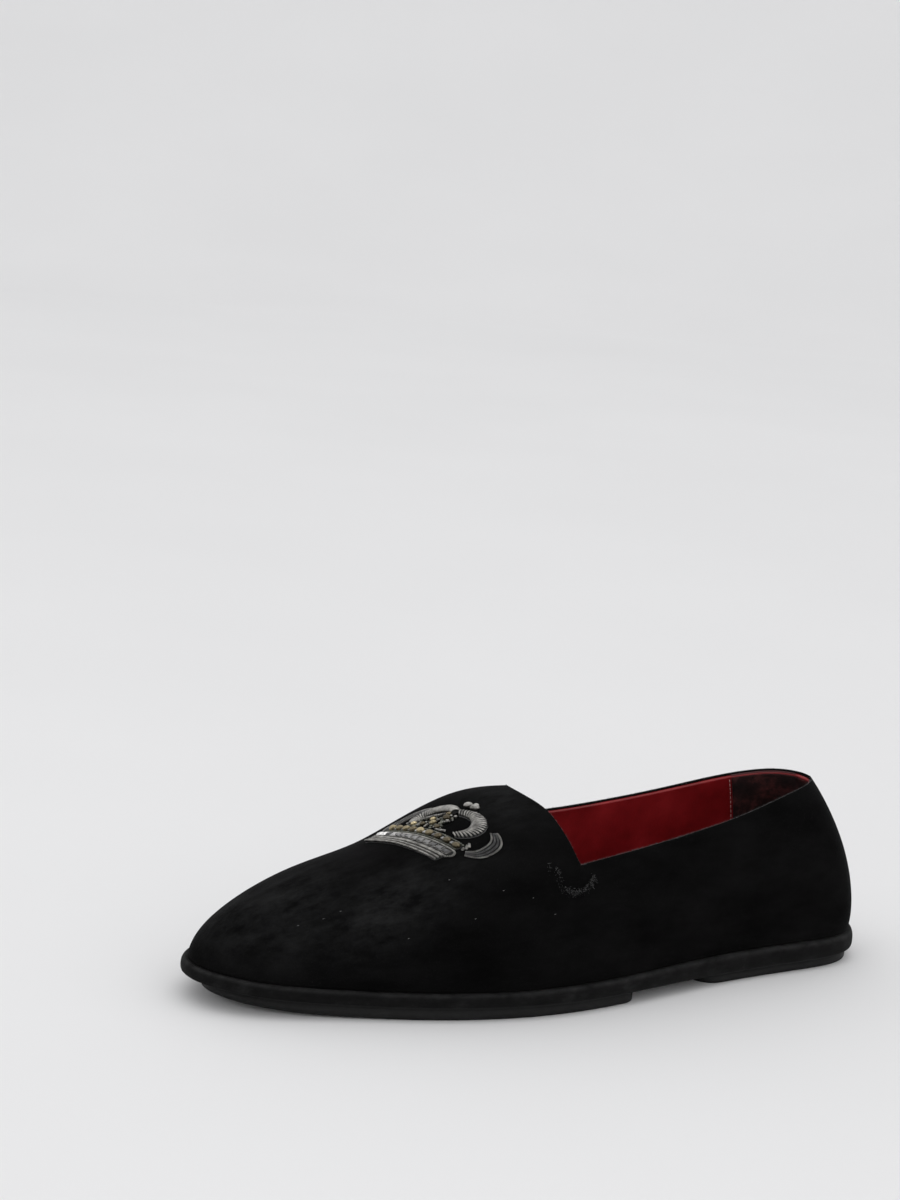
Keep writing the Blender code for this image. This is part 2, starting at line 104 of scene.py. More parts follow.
# Top edge of the quarters, and the throat edge of the vamp
CollarRow = namedtuple("CollarRow", "along height")
COLLAR = [
    CollarRow(0.00, 75.4), CollarRow(0.06, 75.4), CollarRow(0.20, 68.0), CollarRow(0.35, 61.6),
    CollarRow(0.48, 57.7), CollarRow(0.60, 54.0),
]
ThroatRow = namedtuple("ThroatRow", "height along")
THROAT = [
    ThroatRow(20.0, 0.483), ThroatRow(50.0, 0.496), ThroatRow(58.0, 0.503), ThroatRow(66.0, 0.512),
    ThroatRow(72.0, 0.520), ThroatRow(76.5, 0.531), ThroatRow(79.5, 0.548), ThroatRow(100.0, 0.655),
]

# Side of the midsole from its lower to its upper edge
EdgeRow = namedtuple("EdgeRow", "reach rise")
MIDSOLE_EDGE = [
    EdgeRow(0.50, 0.00), EdgeRow(0.88, 0.08), EdgeRow(1.00, 0.35), EdgeRow(0.92, 0.72),
    EdgeRow(0.62, 0.95), EdgeRow(0.30, 1.00),
]

# Crown on the vamp, in its own directions: up from its base toward the throat, out from its middle line.
# The whole crown slants and leans, and its inner half is narrower by the inner share.
# A width is across the strip.
CROWN_AHEAD = 54.0
CROWN_HALF = 24.0
CROWN_BOW = 1.0
CROWN_SLANT = 0.30
CROWN_LEAN = 0.20
CROWN_SHIFT = 1.5
CROWN_INNER_SHARE = 0.72
StripRow = namedtuple("StripRow", "up out width")
CROWN_ARCH = [
    StripRow(26.6, 1.6, 3.2), StripRow(27.6, 6.2, 4.4), StripRow(26.4, 11.2, 5.4), StripRow(22.8, 14.6, 5.4),
    StripRow(18.2, 15.0, 4.4), StripRow(14.9, 12.8, 2.6),
]
CROWN_LOOP = [
    StripRow(10.4, 24.0, 2.4), StripRow(13.2, 26.2, 3.6), StripRow(19.0, 26.3, 4.2),
    StripRow(24.2, 23.6, 3.8), StripRow(26.5, 19.2, 2.4),
]

# Steps of the shape functions
CUT_SAMPLES = 90
PLAN_SAMPLES = 1600
CREST_RANGE = (0.35, 0.75)
HALVINGS = 40
VAMP_RIBS = 160
VAMP_LEVELS = 70
VAMP_CUTS = 120
VAMP_END = 0.90
BEHIND_CREST = 0.12


def spline(knots, values, at):
    """Natural cubic spline through the rows of values."""
    knots = np.asarray(knots, float)
    values = np.asarray(values, float).reshape(len(knots), -1)
    gaps = np.diff(knots)
    count = len(knots)
    matrix = np.eye(count)
    rates = np.zeros_like(values)
    for i in range(1, count - 1):
        matrix[i, i - 1:i + 2] = gaps[i - 1], 2 * (gaps[i - 1] + gaps[i]), gaps[i]
        rise_after = (values[i + 1] - values[i]) / gaps[i]
        rise_before = (values[i] - values[i - 1]) / gaps[i - 1]
        rates[i] = 6 * (rise_after - rise_before)
    bend = np.linalg.solve(matrix, rates)
    at = np.asarray(at, float)
    span = np.clip(np.searchsorted(knots, at, side="right") - 1, 0, count - 2)
    gap = gaps[span][..., None]
    step = (at - knots[span])[..., None]
    slope = (values[span + 1] - values[span]) / gap - gap * (2 * bend[span] + bend[span + 1]) / 6
    curve = step * (bend[span] / 2 + step * (bend[span + 1] - bend[span]) / (6 * gap))
    return values[span] + step * (slope + curve)


def column(rows, key, name, at):
    """One column of a table as a smooth function of its key column."""
    keys = [getattr(row, key) for row in rows]
    values = [getattr(row, name) for row in rows]
    return spline(keys, values, at)[..., 0]


def run_length(points):
    """Length along a line up to each of its points."""
    return np.concatenate([[0.0], np.cumsum(np.linalg.norm(np.diff(points, axis=0), axis=1))])


def closed_curve(points, count):
    """Smooth closed curve through the points, evenly spaced, starting at the first."""
    wrap = 4
    around = np.concatenate([points[-wrap:], points, points[:wrap + 1]])
    chords = np.linalg.norm(np.diff(around, axis=0), axis=1) ** 0.5
    keys = np.concatenate([[0.0], np.cumsum(chords)])
    fine = spline(keys, around, np.linspace(keys[wrap], keys[wrap + len(points)], 4 * count))
    run = run_length(fine)
    even = np.linspace(0.0, run[-1], count, endpoint=False)
    return np.column_stack([np.interp(even, run, fine[:, axis]) for axis in (0, 1)])


def feather_halves():
    """Both halves of the feather line from heel to toe: share of the length, x, y and outward normal."""
    plan = np.array([(row.along * LENGTH, row.across * BALL_WIDTH) for row in FEATHER_PLAN])
    curve = closed_curve(plan, PLAN_SAMPLES)
    curve = np.roll(curve, -np.argmin(curve[:, 0]), axis=0)
    toe = np.argmax(curve[:, 0])
    ahead = curve[:toe + 1]
    back = np.concatenate([curve[toe:], curve[:1]])[::-1]
    halves = {}
    for side, half in ((OUTER, ahead), (INNER, back)):
        run = np.gradient(half, axis=0)
        run /= np.linalg.norm(run, axis=1)[:, None]
        normal = side * np.column_stack([-run[:, 1], run[:, 0]])
        normal[0] = (-1.0, 0.0)
        normal[-1] = (1.0, 0.0)
        share = (half[:, 0] - half[0, 0]) / (half[-1, 0] - half[0, 0])
        halves[side] = np.column_stack([share, half, normal])
    return halves


HALVES = feather_halves()
OUTLINE_START = HALVES[OUTER][0, 1]
OUTLINE_LENGTH = HALVES[OUTER][-1, 1] - OUTLINE_START


def plan_point(share, side, reach=0.0):
    """Point of the feather line on one side, moved outward by the reach, with the outward normal."""
    table = HALVES[side]
    x, y, normal_x, normal_y = [np.interp(share, table[:, 0], table[:, i]) for i in (1, 2, 3, 4)]
    size = np.hypot(normal_x, normal_y)
    normal = np.stack([normal_x / size, normal_y / size], -1)
    return np.stack([x, y], -1) + np.asarray(reach)[..., None] * normal, normal


def feather_height(x):
    return column(SOLE_PROFILE, "along", "feather", np.asarray(x) / LENGTH)


def midsole_thickness(x):
    return column(SOLE_PROFILE, "along", "midsole", np.asarray(x) / LENGTH)


def midsole_bottom(x):
    return feather_height(x) - midsole_thickness(x)


def pad_bottom(x):
    """Underside of the pads: flat on the floor, lifted only by the toe spring."""
    drop = PIECE_GAP + column(SOLE_PROFILE, "along", "pad", np.asarray(x) / LENGTH)
    return np.maximum(midsole_bottom(x) - drop, 0.0)


def ridge_share(share):
    """Place on the ridge where the rib from this place on the feather line ends."""
    return HEEL_POLE + (TOE_POLE - HEEL_POLE) * share


def rib_points(share, side, t):
    """Outer face of the upper: t runs from the feather line (0) to the ridge of the last (1)."""
    foot, normal = plan_point(share, side)
    at = ridge_share(share)
    height, across, rise, crown, flare = [column(RIDGE, "along", name, at) for name in RidgeRow._fields[1:]]
    nudge = 0.001
    ahead = column(RIDGE, "along", "height", at + nudge)
    behind = column(RIDGE, "along", "height", at - nudge)
    slope = (ahead - behind) / (2 * nudge * LENGTH)
    start = np.column_stack([foot, feather_height(foot[:, 0])])
    end = np.column_stack([at * LENGTH, across, height])
    low = start.copy()
    low[:, :2] += normal * flare[:, None]
    low[:, 2] += rise * (height - start[:, 2])
    spread = crown[:, None] * (start[:, :2] - end[:, :2])
    high = end + np.column_stack([spread, spread[:, 0] * slope])
    t = t[..., None]
    return ((1 - t) ** 3 * start[:, None] + 3 * (1 - t) ** 2 * t * low[:, None]
            + 3 * (1 - t) * t ** 2 * high[:, None] + t ** 3 * end[:, None])


def collar_height(x, side):
    base = column(COLLAR, "along", "height", x / LENGTH)
    if side == OUTER:
        return base
    part = (x / LENGTH - INNER_RISE_FROM) / (INNER_RISE_TO - INNER_RISE_FROM)
    return base + INNER_COLLAR_RISE * np.clip(part, 0.0, 1.0)


def throat_place(z):
    return LENGTH * column(THROAT, "height", "along", z)


def opening(points, side, trim=0.0):
    """Above zero where the shoe is open: over the quarters' top edge and behind the throat edge."""
    x, z = points[..., 0], points[..., 2]
    return np.minimum(z - collar_height(x, side), throat_place(z) - x) + trim


def crest_share(trim=0.0):
    """Place on the feather line whose rib meets the ridge at the throat edge."""
    low, high = CREST_RANGE
    for _ in range(HALVINGS):
        middle = (low + high) / 2
        top = rib_points(np.array([middle]), OUTER, np.ones((1, 1)))[0, 0]
        if throat_place(top[2]) + trim > top[0]:
            low = middle
        else:
            high = middle
    return high


def cut_level(share, side, trim=0.0):
    """How far up each rib the wall reaches: to the ridge, or to the edge of the opening."""
    t = np.tile(np.linspace(0, 1, CUT_SAMPLES), (len(share), 1))
    amount = opening(rib_points(share, side, t), side, trim)
    level = np.ones(len(share))
    crest = crest_share(trim)
    for i, row in enumerate(amount):
        if share[i] >= crest:
            continue
        first = int(np.argmax(row > 0))
        part = row[first - 1] / (row[first - 1] - row[first])
        level[i] = (first - 1 + part) / (CUT_SAMPLES - 1)
    return level


# Fine steps of the visible meshes
END_STATIONS = 150
NOTCH_STATIONS = 44
NOTCH_START = 0.40
CREST_STATIONS = 26
CREST_REACH = 15.0
WALL_LEVELS = 58
SOLE_STATIONS = 220
CORNER_STATIONS = 10


def frame_centre():
    """Where the row's origin lies in the shape's own millimetres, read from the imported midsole."""
    low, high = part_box("midsole")
    share = np.linspace(0, 1, 400)
    reach = np.full(len(share), MIDSOLE_REACH)
    edge = np.concatenate([plan_point(share, side, reach)[0] for side in (OUTER, INNER)])
    middle = (edge.min(axis=0) + edge.max(axis=0)) / 2
    packed = (np.array(low) + np.array(high)) / (2 * MM)
    return np.array([middle[0] - packed[0], middle[1] - packed[1], 0.0])


CENTRE = frame_centre()


# Node helpers for the materials

def new_material(name, color, roughness, metallic=0.0):
    """Material with its Principled shader, ready for textures."""
    material = bpy.data.materials.new(name)
    material.use_nodes = True
    shader = material.node_tree.nodes["Principled BSDF"]
    shader.inputs["Base Color"].default_value = (*color, 1.0)
    shader.inputs["Roughness"].default_value = roughness
    shader.inputs["Metallic"].default_value = metallic
    return material, material.node_tree, shader


def add_noise(tree, size_mm, detail=3.0, rough=0.6, stretch=(1.0, 1.0, 1.0)):
    """Noise whose features are about the size given, stretched along the row's axes."""
    place = tree.nodes.new("ShaderNodeTexCoord")
    turn = tree.nodes.new("ShaderNodeMapping")
    turn.inputs["Scale"].default_value = [1 / s for s in stretch]
    noise = tree.nodes.new("ShaderNodeTexNoise")
    noise.inputs["Scale"].default_value = 1 / (size_mm * MM)
    noise.inputs["Detail"].default_value = detail
    noise.inputs["Roughness"].default_value = rough
    tree.links.new(place.outputs["Object"], turn.inputs["Vector"])
    tree.links.new(turn.outputs["Vector"], noise.inputs["Vector"])
    return noise.outputs["Fac"]


def add_cells(tree, size_mm):
    """Distance to the nearest cell wall of a pebbled grain."""
    place = tree.nodes.new("ShaderNodeTexCoord")
    cells = tree.nodes.new("ShaderNodeTexVoronoi")
    cells.inputs["Scale"].default_value = 1 / (size_mm * MM)
    tree.links.new(place.outputs["Object"], cells.inputs["Vector"])
    return cells.outputs["Distance"]


def add_ramp(tree, factor, stops):
    """Colours along a factor; each stop is its place and its colour."""
    ramp = tree.nodes.new("ShaderNodeValToRGB")
    points = ramp.color_ramp.elements
    while len(points) < len(stops):
        points.new(0.5)
    for point, (place, color) in zip(points, stops):
        point.position = place
        point.color = (*color, 1.0)
    tree.links.new(factor, ramp.inputs["Fac"])
    return ramp.outputs["Color"]


def add_mix(tree, factor, first, second, blend="MIX"):
    """Two colours mixed by a factor."""
    mix = tree.nodes.new("ShaderNodeMix")
    mix.data_type = "RGBA"
    mix.blend_type = blend
    tree.links.new(factor, mix.inputs["Factor"])
    tree.links.new(first, mix.inputs["A"])
    tree.links.new(second, mix.inputs["B"])
    return mix.outputs["Result"]


def add_bump(tree, height, depth_mm, strength=1.0, under=None):
    """Normal bumped by a height, over another bump if one is given."""
    bump = tree.nodes.new("ShaderNodeBump")
    bump.inputs["Distance"].default_value = depth_mm * MM
    bump.inputs["Strength"].default_value = strength
    tree.links.new(height, bump.inputs["Height"])
    if under is not None:
        tree.links.new(under, bump.inputs["Normal"])
    return bump.outputs["Normal"]


def grey(value):
    return (value, value, value)


def velvet_material():
    """Black pile: brushed patches, a fine grain, a soft grey sheen and a painted sheen on top."""
    material, tree, shader = new_material("black_velvet", grey(0.004), 0.95)
    patches = add_noise(tree, 22.0, 3.0, 0.55, (1.6, 1.0, 0.7))
    strokes = add_noise(tree, 3.2, 4.0, 0.65, (2.4, 1.0, 0.8))
    dark = add_ramp(tree, patches, [(0.35, grey(0.0016)), (0.70, grey(0.0036))])
    light = add_ramp(tree, patches, [(0.35, grey(0.0024)), (0.70, grey(0.0062))])
    flat = add_mix(tree, strokes, dark, light)
    # Painted sheen: a lighter streaked tone, mixed in by the nap attribute where the toe and vamp face up.
    streaks = add_noise(tree, 7.0, 5.0, 0.7, (3.0, 1.0, 1.0))
    painted_sheen_tone = add_ramp(tree, streaks, [(0.36, (0.0040, 0.0042, 0.0042)), (0.68, (0.0300, 0.0310, 0.0310))])
    nap = tree.nodes.new("ShaderNodeAttribute")
    nap.attribute_name = "nap"
    tree.links.new(add_mix(tree, nap.outputs["Fac"], flat, painted_sheen_tone), shader.inputs["Base Color"])
    tuft = add_bump(tree, strokes, 0.25, 0.5)
    pile = add_bump(tree, add_noise(tree, 0.42, 2.0, 0.7), 0.16, 0.9, tuft)
    tree.links.new(pile, shader.inputs["Normal"])
    shader.inputs["Specular IOR Level"].default_value = 0.02
    shader.inputs["Sheen Weight"].default_value = 0.030
    shader.inputs["Sheen Roughness"].default_value = 0.34
    shader.inputs["Sheen Tint"].default_value = (0.80, 0.80, 0.84, 1.0)
    return material


def pile_material(name, color):
    """Loose fibres of the pile."""
    material, tree, shader = new_material(name, color, 0.9)
    shader.inputs["Sheen Weight"].default_value = 0.3
    return material


def leather_material():
    """Smooth red lining leather with a fine grain and faint handling marks."""
    material, tree, shader = new_material("red_leather", (0.42, 0.012, 0.018), 0.42)
    marks = add_noise(tree, 14.0, 4.0, 0.6)
    tone = add_ramp(tree, marks, [(0.30, (0.17, 0.005, 0.007)), (0.55, (0.25, 0.008, 0.011)),
                                  (0.80, (0.36, 0.016, 0.020))])
    tree.links.new(tone, shader.inputs["Base Color"])
    gloss = add_ramp(tree, marks, [(0.3, grey(0.36)), (0.8, grey(0.52))])
    tree.links.new(gloss, shader.inputs["Roughness"])
    creases = add_bump(tree, add_noise(tree, 2.6, 5.0, 0.6), 0.10, 0.5)
    grain = add_bump(tree, add_cells(tree, 0.7), 0.06, 0.6, creases)
    tree.links.new(grain, shader.inputs["Normal"])
    return material


def patch_material():
    """Mauve-brown suede of the heel patch, worn into blotches."""
    material, tree, shader = new_material("mauve_suede", (0.10, 0.03, 0.03), 0.85)
    blotches = add_noise(tree, 9.0, 5.0, 0.65)
    tone = add_ramp(tree, blotches, [(0.34, (0.008, 0.003, 0.003)), (0.52, (0.024, 0.008, 0.008)),
                                     (0.70, (0.110, 0.030, 0.028))])
    tree.links.new(tone, shader.inputs["Base Color"])
    nap = add_bump(tree, add_noise(tree, 0.5, 3.0, 0.7), 0.15, 0.8)
    tree.links.new(nap, shader.inputs["Normal"])
    shader.inputs["Sheen Weight"].default_value = 0.10
    shader.inputs["Specular IOR Level"].default_value = 0.10
    return material


def suede_material():
    """Charcoal wrap of the midsole: patchy nap, with a painted highlight along its upward-facing upper edge.
    """
    material, tree, shader = new_material("charcoal_suede", grey(0.018), 0.85)
    blotches = add_noise(tree, 6.0, 5.0, 0.7, (1.8, 1.0, 1.0))
    body = add_ramp(tree, blotches, [(0.30, grey(0.0022)), (0.55, grey(0.0055)), (0.78, grey(0.0150))])
    # Painted highlight: a lighter patchy tone along the midsole's upward-facing upper edge.
    highlight_tone = add_ramp(tree, blotches, [(0.30, grey(0.006)), (0.75, grey(0.026))])
    painted_highlight = tree.nodes.new("ShaderNodeAttribute")
    painted_highlight.attribute_name = "painted_highlight"
    tree.links.new(add_mix(tree, painted_highlight.outputs["Fac"], body, highlight_tone), shader.inputs["Base Color"])
    nap = add_bump(tree, add_noise(tree, 0.6, 4.0, 0.7), 0.18, 0.8)
    tree.links.new(nap, shader.inputs["Normal"])
    shader.inputs["Sheen Weight"].default_value = 0.02
    shader.inputs["Specular IOR Level"].default_value = 0.08
    return material


def rubber_material():
    """Matt black pad with scuffs."""
    material, tree, shader = new_material("black_rubber", grey(0.007), 0.55)
    scuffs = add_noise(tree, 4.0, 6.0, 0.75, (2.5, 1.0, 1.0))
    tone = add_ramp(tree, scuffs, [(0.4, grey(0.0030)), (0.8, grey(0.014))])
    tree.links.new(tone, shader.inputs["Base Color"])
    gloss = add_ramp(tree, scuffs, [(0.3, grey(0.45)), (0.8, grey(0.75))])
    tree.links.new(gloss, shader.inputs["Roughness"])
    tree.links.new(add_bump(tree, add_noise(tree, 0.7, 3.0), 0.08, 0.6), shader.inputs["Normal"])
    shader.inputs["Specular IOR Level"].default_value = 0.20
    return material


def metal_material(name, dark, bright, roughness):
    """Wire with a little tarnish."""
    material, tree, shader = new_material(name, bright, roughness, 1.0)
    tarnish = add_noise(tree, 2.4, 4.0, 0.65)
    tree.links.new(add_ramp(tree, tarnish, [(0.32, dark), (0.62, bright)]), shader.inputs["Base Color"])
    return material


def bead_material(name, dark, bright, metallic, roughness):
    """Glass bead over foil, each one a little different in tone."""
    material, tree, shader = new_material(name, bright, roughness, metallic)
    place = tree.nodes.new("ShaderNodeNewGeometry")
    middle = [0.75 * low + 0.25 * high for low, high in zip(dark, bright)]
    tone = add_ramp(tree, place.outputs["Random Per Island"], [(0.0, dark), (0.6, middle), (1.0, bright)])
    tree.links.new(tone, shader.inputs["Base Color"])
    shader.inputs["Coat Weight"].default_value = 0.6
    return material


def thread_material(name, color):
    material, tree, shader = new_material(name, color, 0.7)
    tree.links.new(add_bump(tree, add_noise(tree, 0.3, 2.0), 0.05, 0.8), shader.inputs["Normal"])
    return material


MATERIALS = {
    "velvet": velvet_material(),
    "pile": pile_material("loose_pile", grey(0.010)),
    "crushed_pile": pile_material("crushed_pile", grey(0.030)),
    "lint": pile_material("pale_lint", grey(0.16)),
    "leather": leather_material(),
    "patch": patch_material(),
    "suede": suede_material(),
    "rubber": rubber_material(),
    "silver": metal_material("silver_wire_work", (0.12, 0.115, 0.11), (0.50, 0.49, 0.46), 0.30),
    "grey_wire": metal_material("grey_wire_work", (0.05, 0.05, 0.05), (0.24, 0.24, 0.24), 0.42),
    "dark_felt": pile_material("dark_padding", grey(0.012)),
    "crystal": bead_material("square_crystal", (0.04, 0.04, 0.04), (0.95, 0.94, 0.92), 0.80, 0.06),
    "champagne": bead_material("champagne_glass", (0.07, 0.055, 0.03), (0.66, 0.55, 0.33), 0.85, 0.12),
    "seed": bead_material("grey_green_seed", (0.07, 0.075, 0.06), (0.20, 0.20, 0.16), 0.60, 0.22),
    "pale_thread": thread_material("pink_white_thread", (0.72, 0.48, 0.46)),
    "maroon_edge": thread_material("maroon_edge", (0.06, 0.008, 0.010)),
}


# Mesh helpers

WELD_DISTANCE = 0.01


def weld_mesh(mesh):
    """Joins points that coincide and turns the faces outward."""
    work = bmesh.new()
    work.from_mesh(mesh)
    bmesh.ops.remove_doubles(work, verts=work.verts, dist=WELD_DISTANCE * MM)
    bmesh.ops.recalc_face_normals(work, faces=work.faces)
    work.to_mesh(mesh)
    work.free()


def add_object(name, points, faces, looks, weld=True, face_look=None, smooth=True):
    """One object from points in millimetres, riding on the shoe."""
    mesh = bpy.data.meshes.new(name)
    mesh.from_pydata((MM * (np.asarray(points) - CENTRE)).tolist(), [], [list(face) for face in faces])
    for look in looks:
        mesh.materials.append(MATERIALS[look])
    if face_look is not None:
        mesh.polygons.foreach_set("material_index", np.asarray(face_look, np.int32))
    if weld:
        weld_mesh(mesh)
    mesh.polygons.foreach_set("use_smooth", np.full(len(mesh.polygons), smooth))
    mesh.update()
    obj = bpy.data.objects.new(name, mesh)
    bpy.context.collection.objects.link(obj)
    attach(obj, "root")
    return obj


def grid_faces(rows, columns, first=0):
    """Quads of a grid of points stored row by row from the index given."""
    corner = first + np.arange(rows - 1)[:, None] * columns + np.arange(columns - 1)
    corner = corner.ravel()
    return np.column_stack([corner, corner + 1, corner + columns + 1, corner + columns])


def ring_faces(rings, size):
    """Quads between closed rings of points that are stored one after another."""
    faces = []
    for i in range(rings - 1):
        here, above = i * size, (i + 1) * size
        for j in range(size):
            k = (j + 1) % size
            faces.append((here + j, here + k, above + k, above + j))
    return faces


def add_values(obj, name, values):
    """One number for each point of an object's mesh, read by its material."""
    layer = obj.data.attributes.new(name, "FLOAT", "POINT")
    layer.data.foreach_set("value", values.astype(np.float32))


def thicken(obj, thickness):
    """Gives a sheet its thickness, toward the inside of the shoe."""
    skin = obj.modifiers.new("thickness", "SOLIDIFY")
    skin.thickness = thickness * MM
    skin.offset = -1.0


def finish_piece(piece, node):
    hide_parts(node)


class Bundle:
    """Points and faces of many small pieces that become one mesh."""

    def __init__(self):
        self.points = []
        self.faces = []
        self.looks = []
        self.count = 0

    def add(self, points, faces, look=0):
        points = np.asarray(points, float).reshape(-1, 3)
        self.points.append(points)
        self.faces.extend([[self.count + i for i in face] for face in faces])
        self.looks.extend([look] * len(faces))
        self.count += len(points)

    def tube(self, path, radius, around, sides=5, look=0):
        """Round wire along a path; around holds one direction across the wire for each point."""
        run = np.gradient(path, axis=0)
        run /= np.linalg.norm(run, axis=1)[:, None]
        first = around - (around * run).sum(axis=1)[:, None] * run
        first /= np.linalg.norm(first, axis=1)[:, None]
        second = np.cross(run, first)
        angle = np.linspace(0, 2 * np.pi, sides, endpoint=False)
        radius = np.broadcast_to(radius, (len(path),))[:, None, None]
        ring = np.cos(angle)[:, None] * first[:, None] + np.sin(angle)[:, None] * second[:, None]
        points = path[:, None] + radius * ring
        faces = ring_faces(len(path), sides)
        last = (len(path) - 1) * sides
        faces.append(tuple(range(sides))[::-1])
        faces.append(tuple(last + j for j in range(sides)))
        self.add(points, faces, look)

    def make(self, name, looks, smooth=True):
        points = np.concatenate(self.points)
        return add_object(name, points, self.faces, looks, False, self.looks, smooth)


def mesh_arrays(obj):
    """Points in millimetres from the heel, and normals, of an object's mesh."""
    mesh = obj.data
    points = np.empty(3 * len(mesh.vertices))
    normals = np.empty(3 * len(mesh.vertices))
    mesh.vertices.foreach_get("co", points)
    mesh.vertices.foreach_get("normal", normals)
    return points.reshape(-1, 3) / MM + CENTRE, normals.reshape(-1, 3)


def set_points(obj, points):
    obj.data.vertices.foreach_set("co", (MM * (points - CENTRE)).ravel())
    obj.data.update()


def fibres(bundle, roots, directions, lengths, width, look=0):
    """Fine three-sided spikes, one from each root."""
    side = np.cross(directions, (0.31, 0.52, 0.79))
    side /= np.linalg.norm(side, axis=1)[:, None]
    other = np.cross(directions, side)
    for root, ahead, length, first, second in zip(roots, directions, lengths, side, other):
        base = [root + width * (np.cos(a) * first + np.sin(a) * second) for a in (0.0, 2.1, 4.2)]
        bundle.add(base + [root + length * ahead], [(0, 1, 3), (1, 2, 3), (2, 0, 3)], look)


# Upper

Crease = namedtuple("Crease", "side rise width rows")
CREASES = [
    Crease(OUTER, -0.55, 1.3, [(161.8, 38.3), (156.0, 33.2), (150.4, 29.5)]),
    Crease(OUTER, -0.60, 1.1, [(141.4, 57.5), (140.0, 53.0), (138.6, 49.5)]),
    Crease(OUTER, 0.70, 1.2, [(138.2, 52.2), (139.8, 49.5), (143.4, 47.8), (149.4, 47.3), (153.7, 49.7),
                              (156.0, 56.0)]),
    Crease(OUTER, -0.45, 4.0, [(147.5, 46.0), (148.5, 36.0), (146.0, 26.0)]),
    Crease(OUTER, 0.40, 5.0, [(120.0, 52.0), (112.0, 40.0), (108.0, 26.0)]),
    Crease(OUTER, -0.35, 6.0, [(92.0, 56.0), (84.0, 40.0), (82.0, 25.0)]),
    Crease(INNER, -0.75, 1.6, [(143.0, 60.0), (152.0, 55.0), (175.0, 46.5), (200.0, 40.0), (222.0, 36.0)]),
    Crease(INNER, 0.55, 2.4, [(146.0, 63.0), (156.0, 58.5), (177.0, 50.5), (202.0, 44.0), (224.0, 39.5)]),
    Crease(INNER, 0.60, 1.2, [(139.0, 56.0), (144.0, 50.5), (151.0, 49.0)]),
]
SKIN_FADE = 6.0
CLOTH_WAVE = 0.10
VELVET_THICK = 1.0
EDGE_ROLL = 0.4
EDGE_ANGLE = 50.0


def fine_stations(trim=0.0):
    """Shares of the length: close together at both ends, at the notch and behind the throat crest."""
    ends = (1 - np.cos(np.linspace(0, np.pi, END_STATIONS))) / 2
    crest = crest_share(trim)
    behind = crest - CREST_REACH / LENGTH * np.linspace(0, 1, CREST_STATIONS) ** 1.7
    notch = np.linspace(NOTCH_START, behind.min() - 0.003, NOTCH_STATIONS)
    ends = ends[(ends < NOTCH_START - 0.003) | (ends > crest + 0.004)]
    return np.sort(np.concatenate([ends, notch, behind]))


def wall_grids(share, trim=0.0, low=0.0):
    """Outer face of the upper on each side, cut at the opening's edge or a trim below it."""
    grids = {}
    for side in (OUTER, INNER):
        level = cut_level(share, side, trim)
        t = low + (level[:, None] - low) * np.linspace(0, 1, WALL_LEVELS)
        grids[side] = rib_points(share, side, t)
    grids[INNER][0] = grids[OUTER][0]
    if share[-1] == 1.0:
        grids[INNER][-1] = grids[OUTER][-1]
    return grids


def sheet_object(name, grids, looks):
    rows = len(grids[OUTER])
    points = np.concatenate([grids[side].reshape(-1, 3) for side in (OUTER, INNER)])
    faces = np.concatenate([grid_faces(rows, WALL_LEVELS),
                            grid_faces(rows, WALL_LEVELS, rows * WALL_LEVELS)[:, ::-1]])
    return add_object(name, points, faces, looks)


def line_distance(points, rows):
    """Distance of points from a line of short straight runs, both in the plane."""
    best = np.full(len(points), np.inf)
    rows = np.array(rows, float)
    for start, end in zip(rows[:-1], rows[1:]):
        along = end - start
        part = np.clip(((points - start) @ along) / (along @ along), 0.0, 1.0)
        best = np.minimum(best, np.linalg.norm(points - start - part[:, None] * along, axis=1))
    return best


def crease_rise(points, normals):
    """How far the velvet stands in or out: soft troughs and ridges, and the slight unevenness of cloth."""
    rise = np.zeros(len(points))
    flat = points[:, [0, 2]]
    for crease in CREASES:
        facing = np.clip(crease.side * normals[:, 1] * 3, 0.0, 1.0)
        rise += crease.rise * facing * np.exp(-(line_distance(flat, crease.rows) / crease.width) ** 2)
    x, y, z = points.T
    wave = np.sin(x / 17.0 + 1.3) * np.sin(z / 13.0 + y / 21.0)
    ripple = 0.5 * np.sin(x / 7.3 + y / 9.0) * np.sin(z / 6.1)
    low = np.clip((z - feather_height(x)) / SKIN_FADE, 0.0, 1.0)
    return (rise + CLOTH_WAVE * (wave + ripple)) * low


# Painted sheen: lighter patches on top of the toe and vamp, weighted by how far the surface faces up.
SHEEN_FACING = 1.6
SheenPatch = namedtuple("SheenPatch", "x y along across weight")
SHEEN_PATCHES = [
    SheenPatch(248.0, 0.0, 26.0, 30.0, 0.45), SheenPatch(222.0, 20.0, 30.0, 14.0, 0.55),
    SheenPatch(205.0, 26.0, 26.0, 10.0, 0.35), SheenPatch(165.0, 4.0, 14.0, 16.0, 0.45),
    SheenPatch(268.0, -10.0, 14.0, 24.0, 0.45),
]


def painted_top_sheen(points, normals):
    """Painted sheen on the velvet: lighter patches on top of the toe and the vamp, faded where it doesn't
    face up.
    """
    nap = np.zeros(len(points))
    for patch in SHEEN_PATCHES:
        along = (points[:, 0] - patch.x) / patch.along
        across = (points[:, 1] - patch.y) / patch.across
        nap = np.maximum(nap, patch.weight * np.exp(-(along ** 2 + across ** 2)))
    return nap * np.clip(SHEEN_FACING * normals[:, 2], 0.0, 1.0)


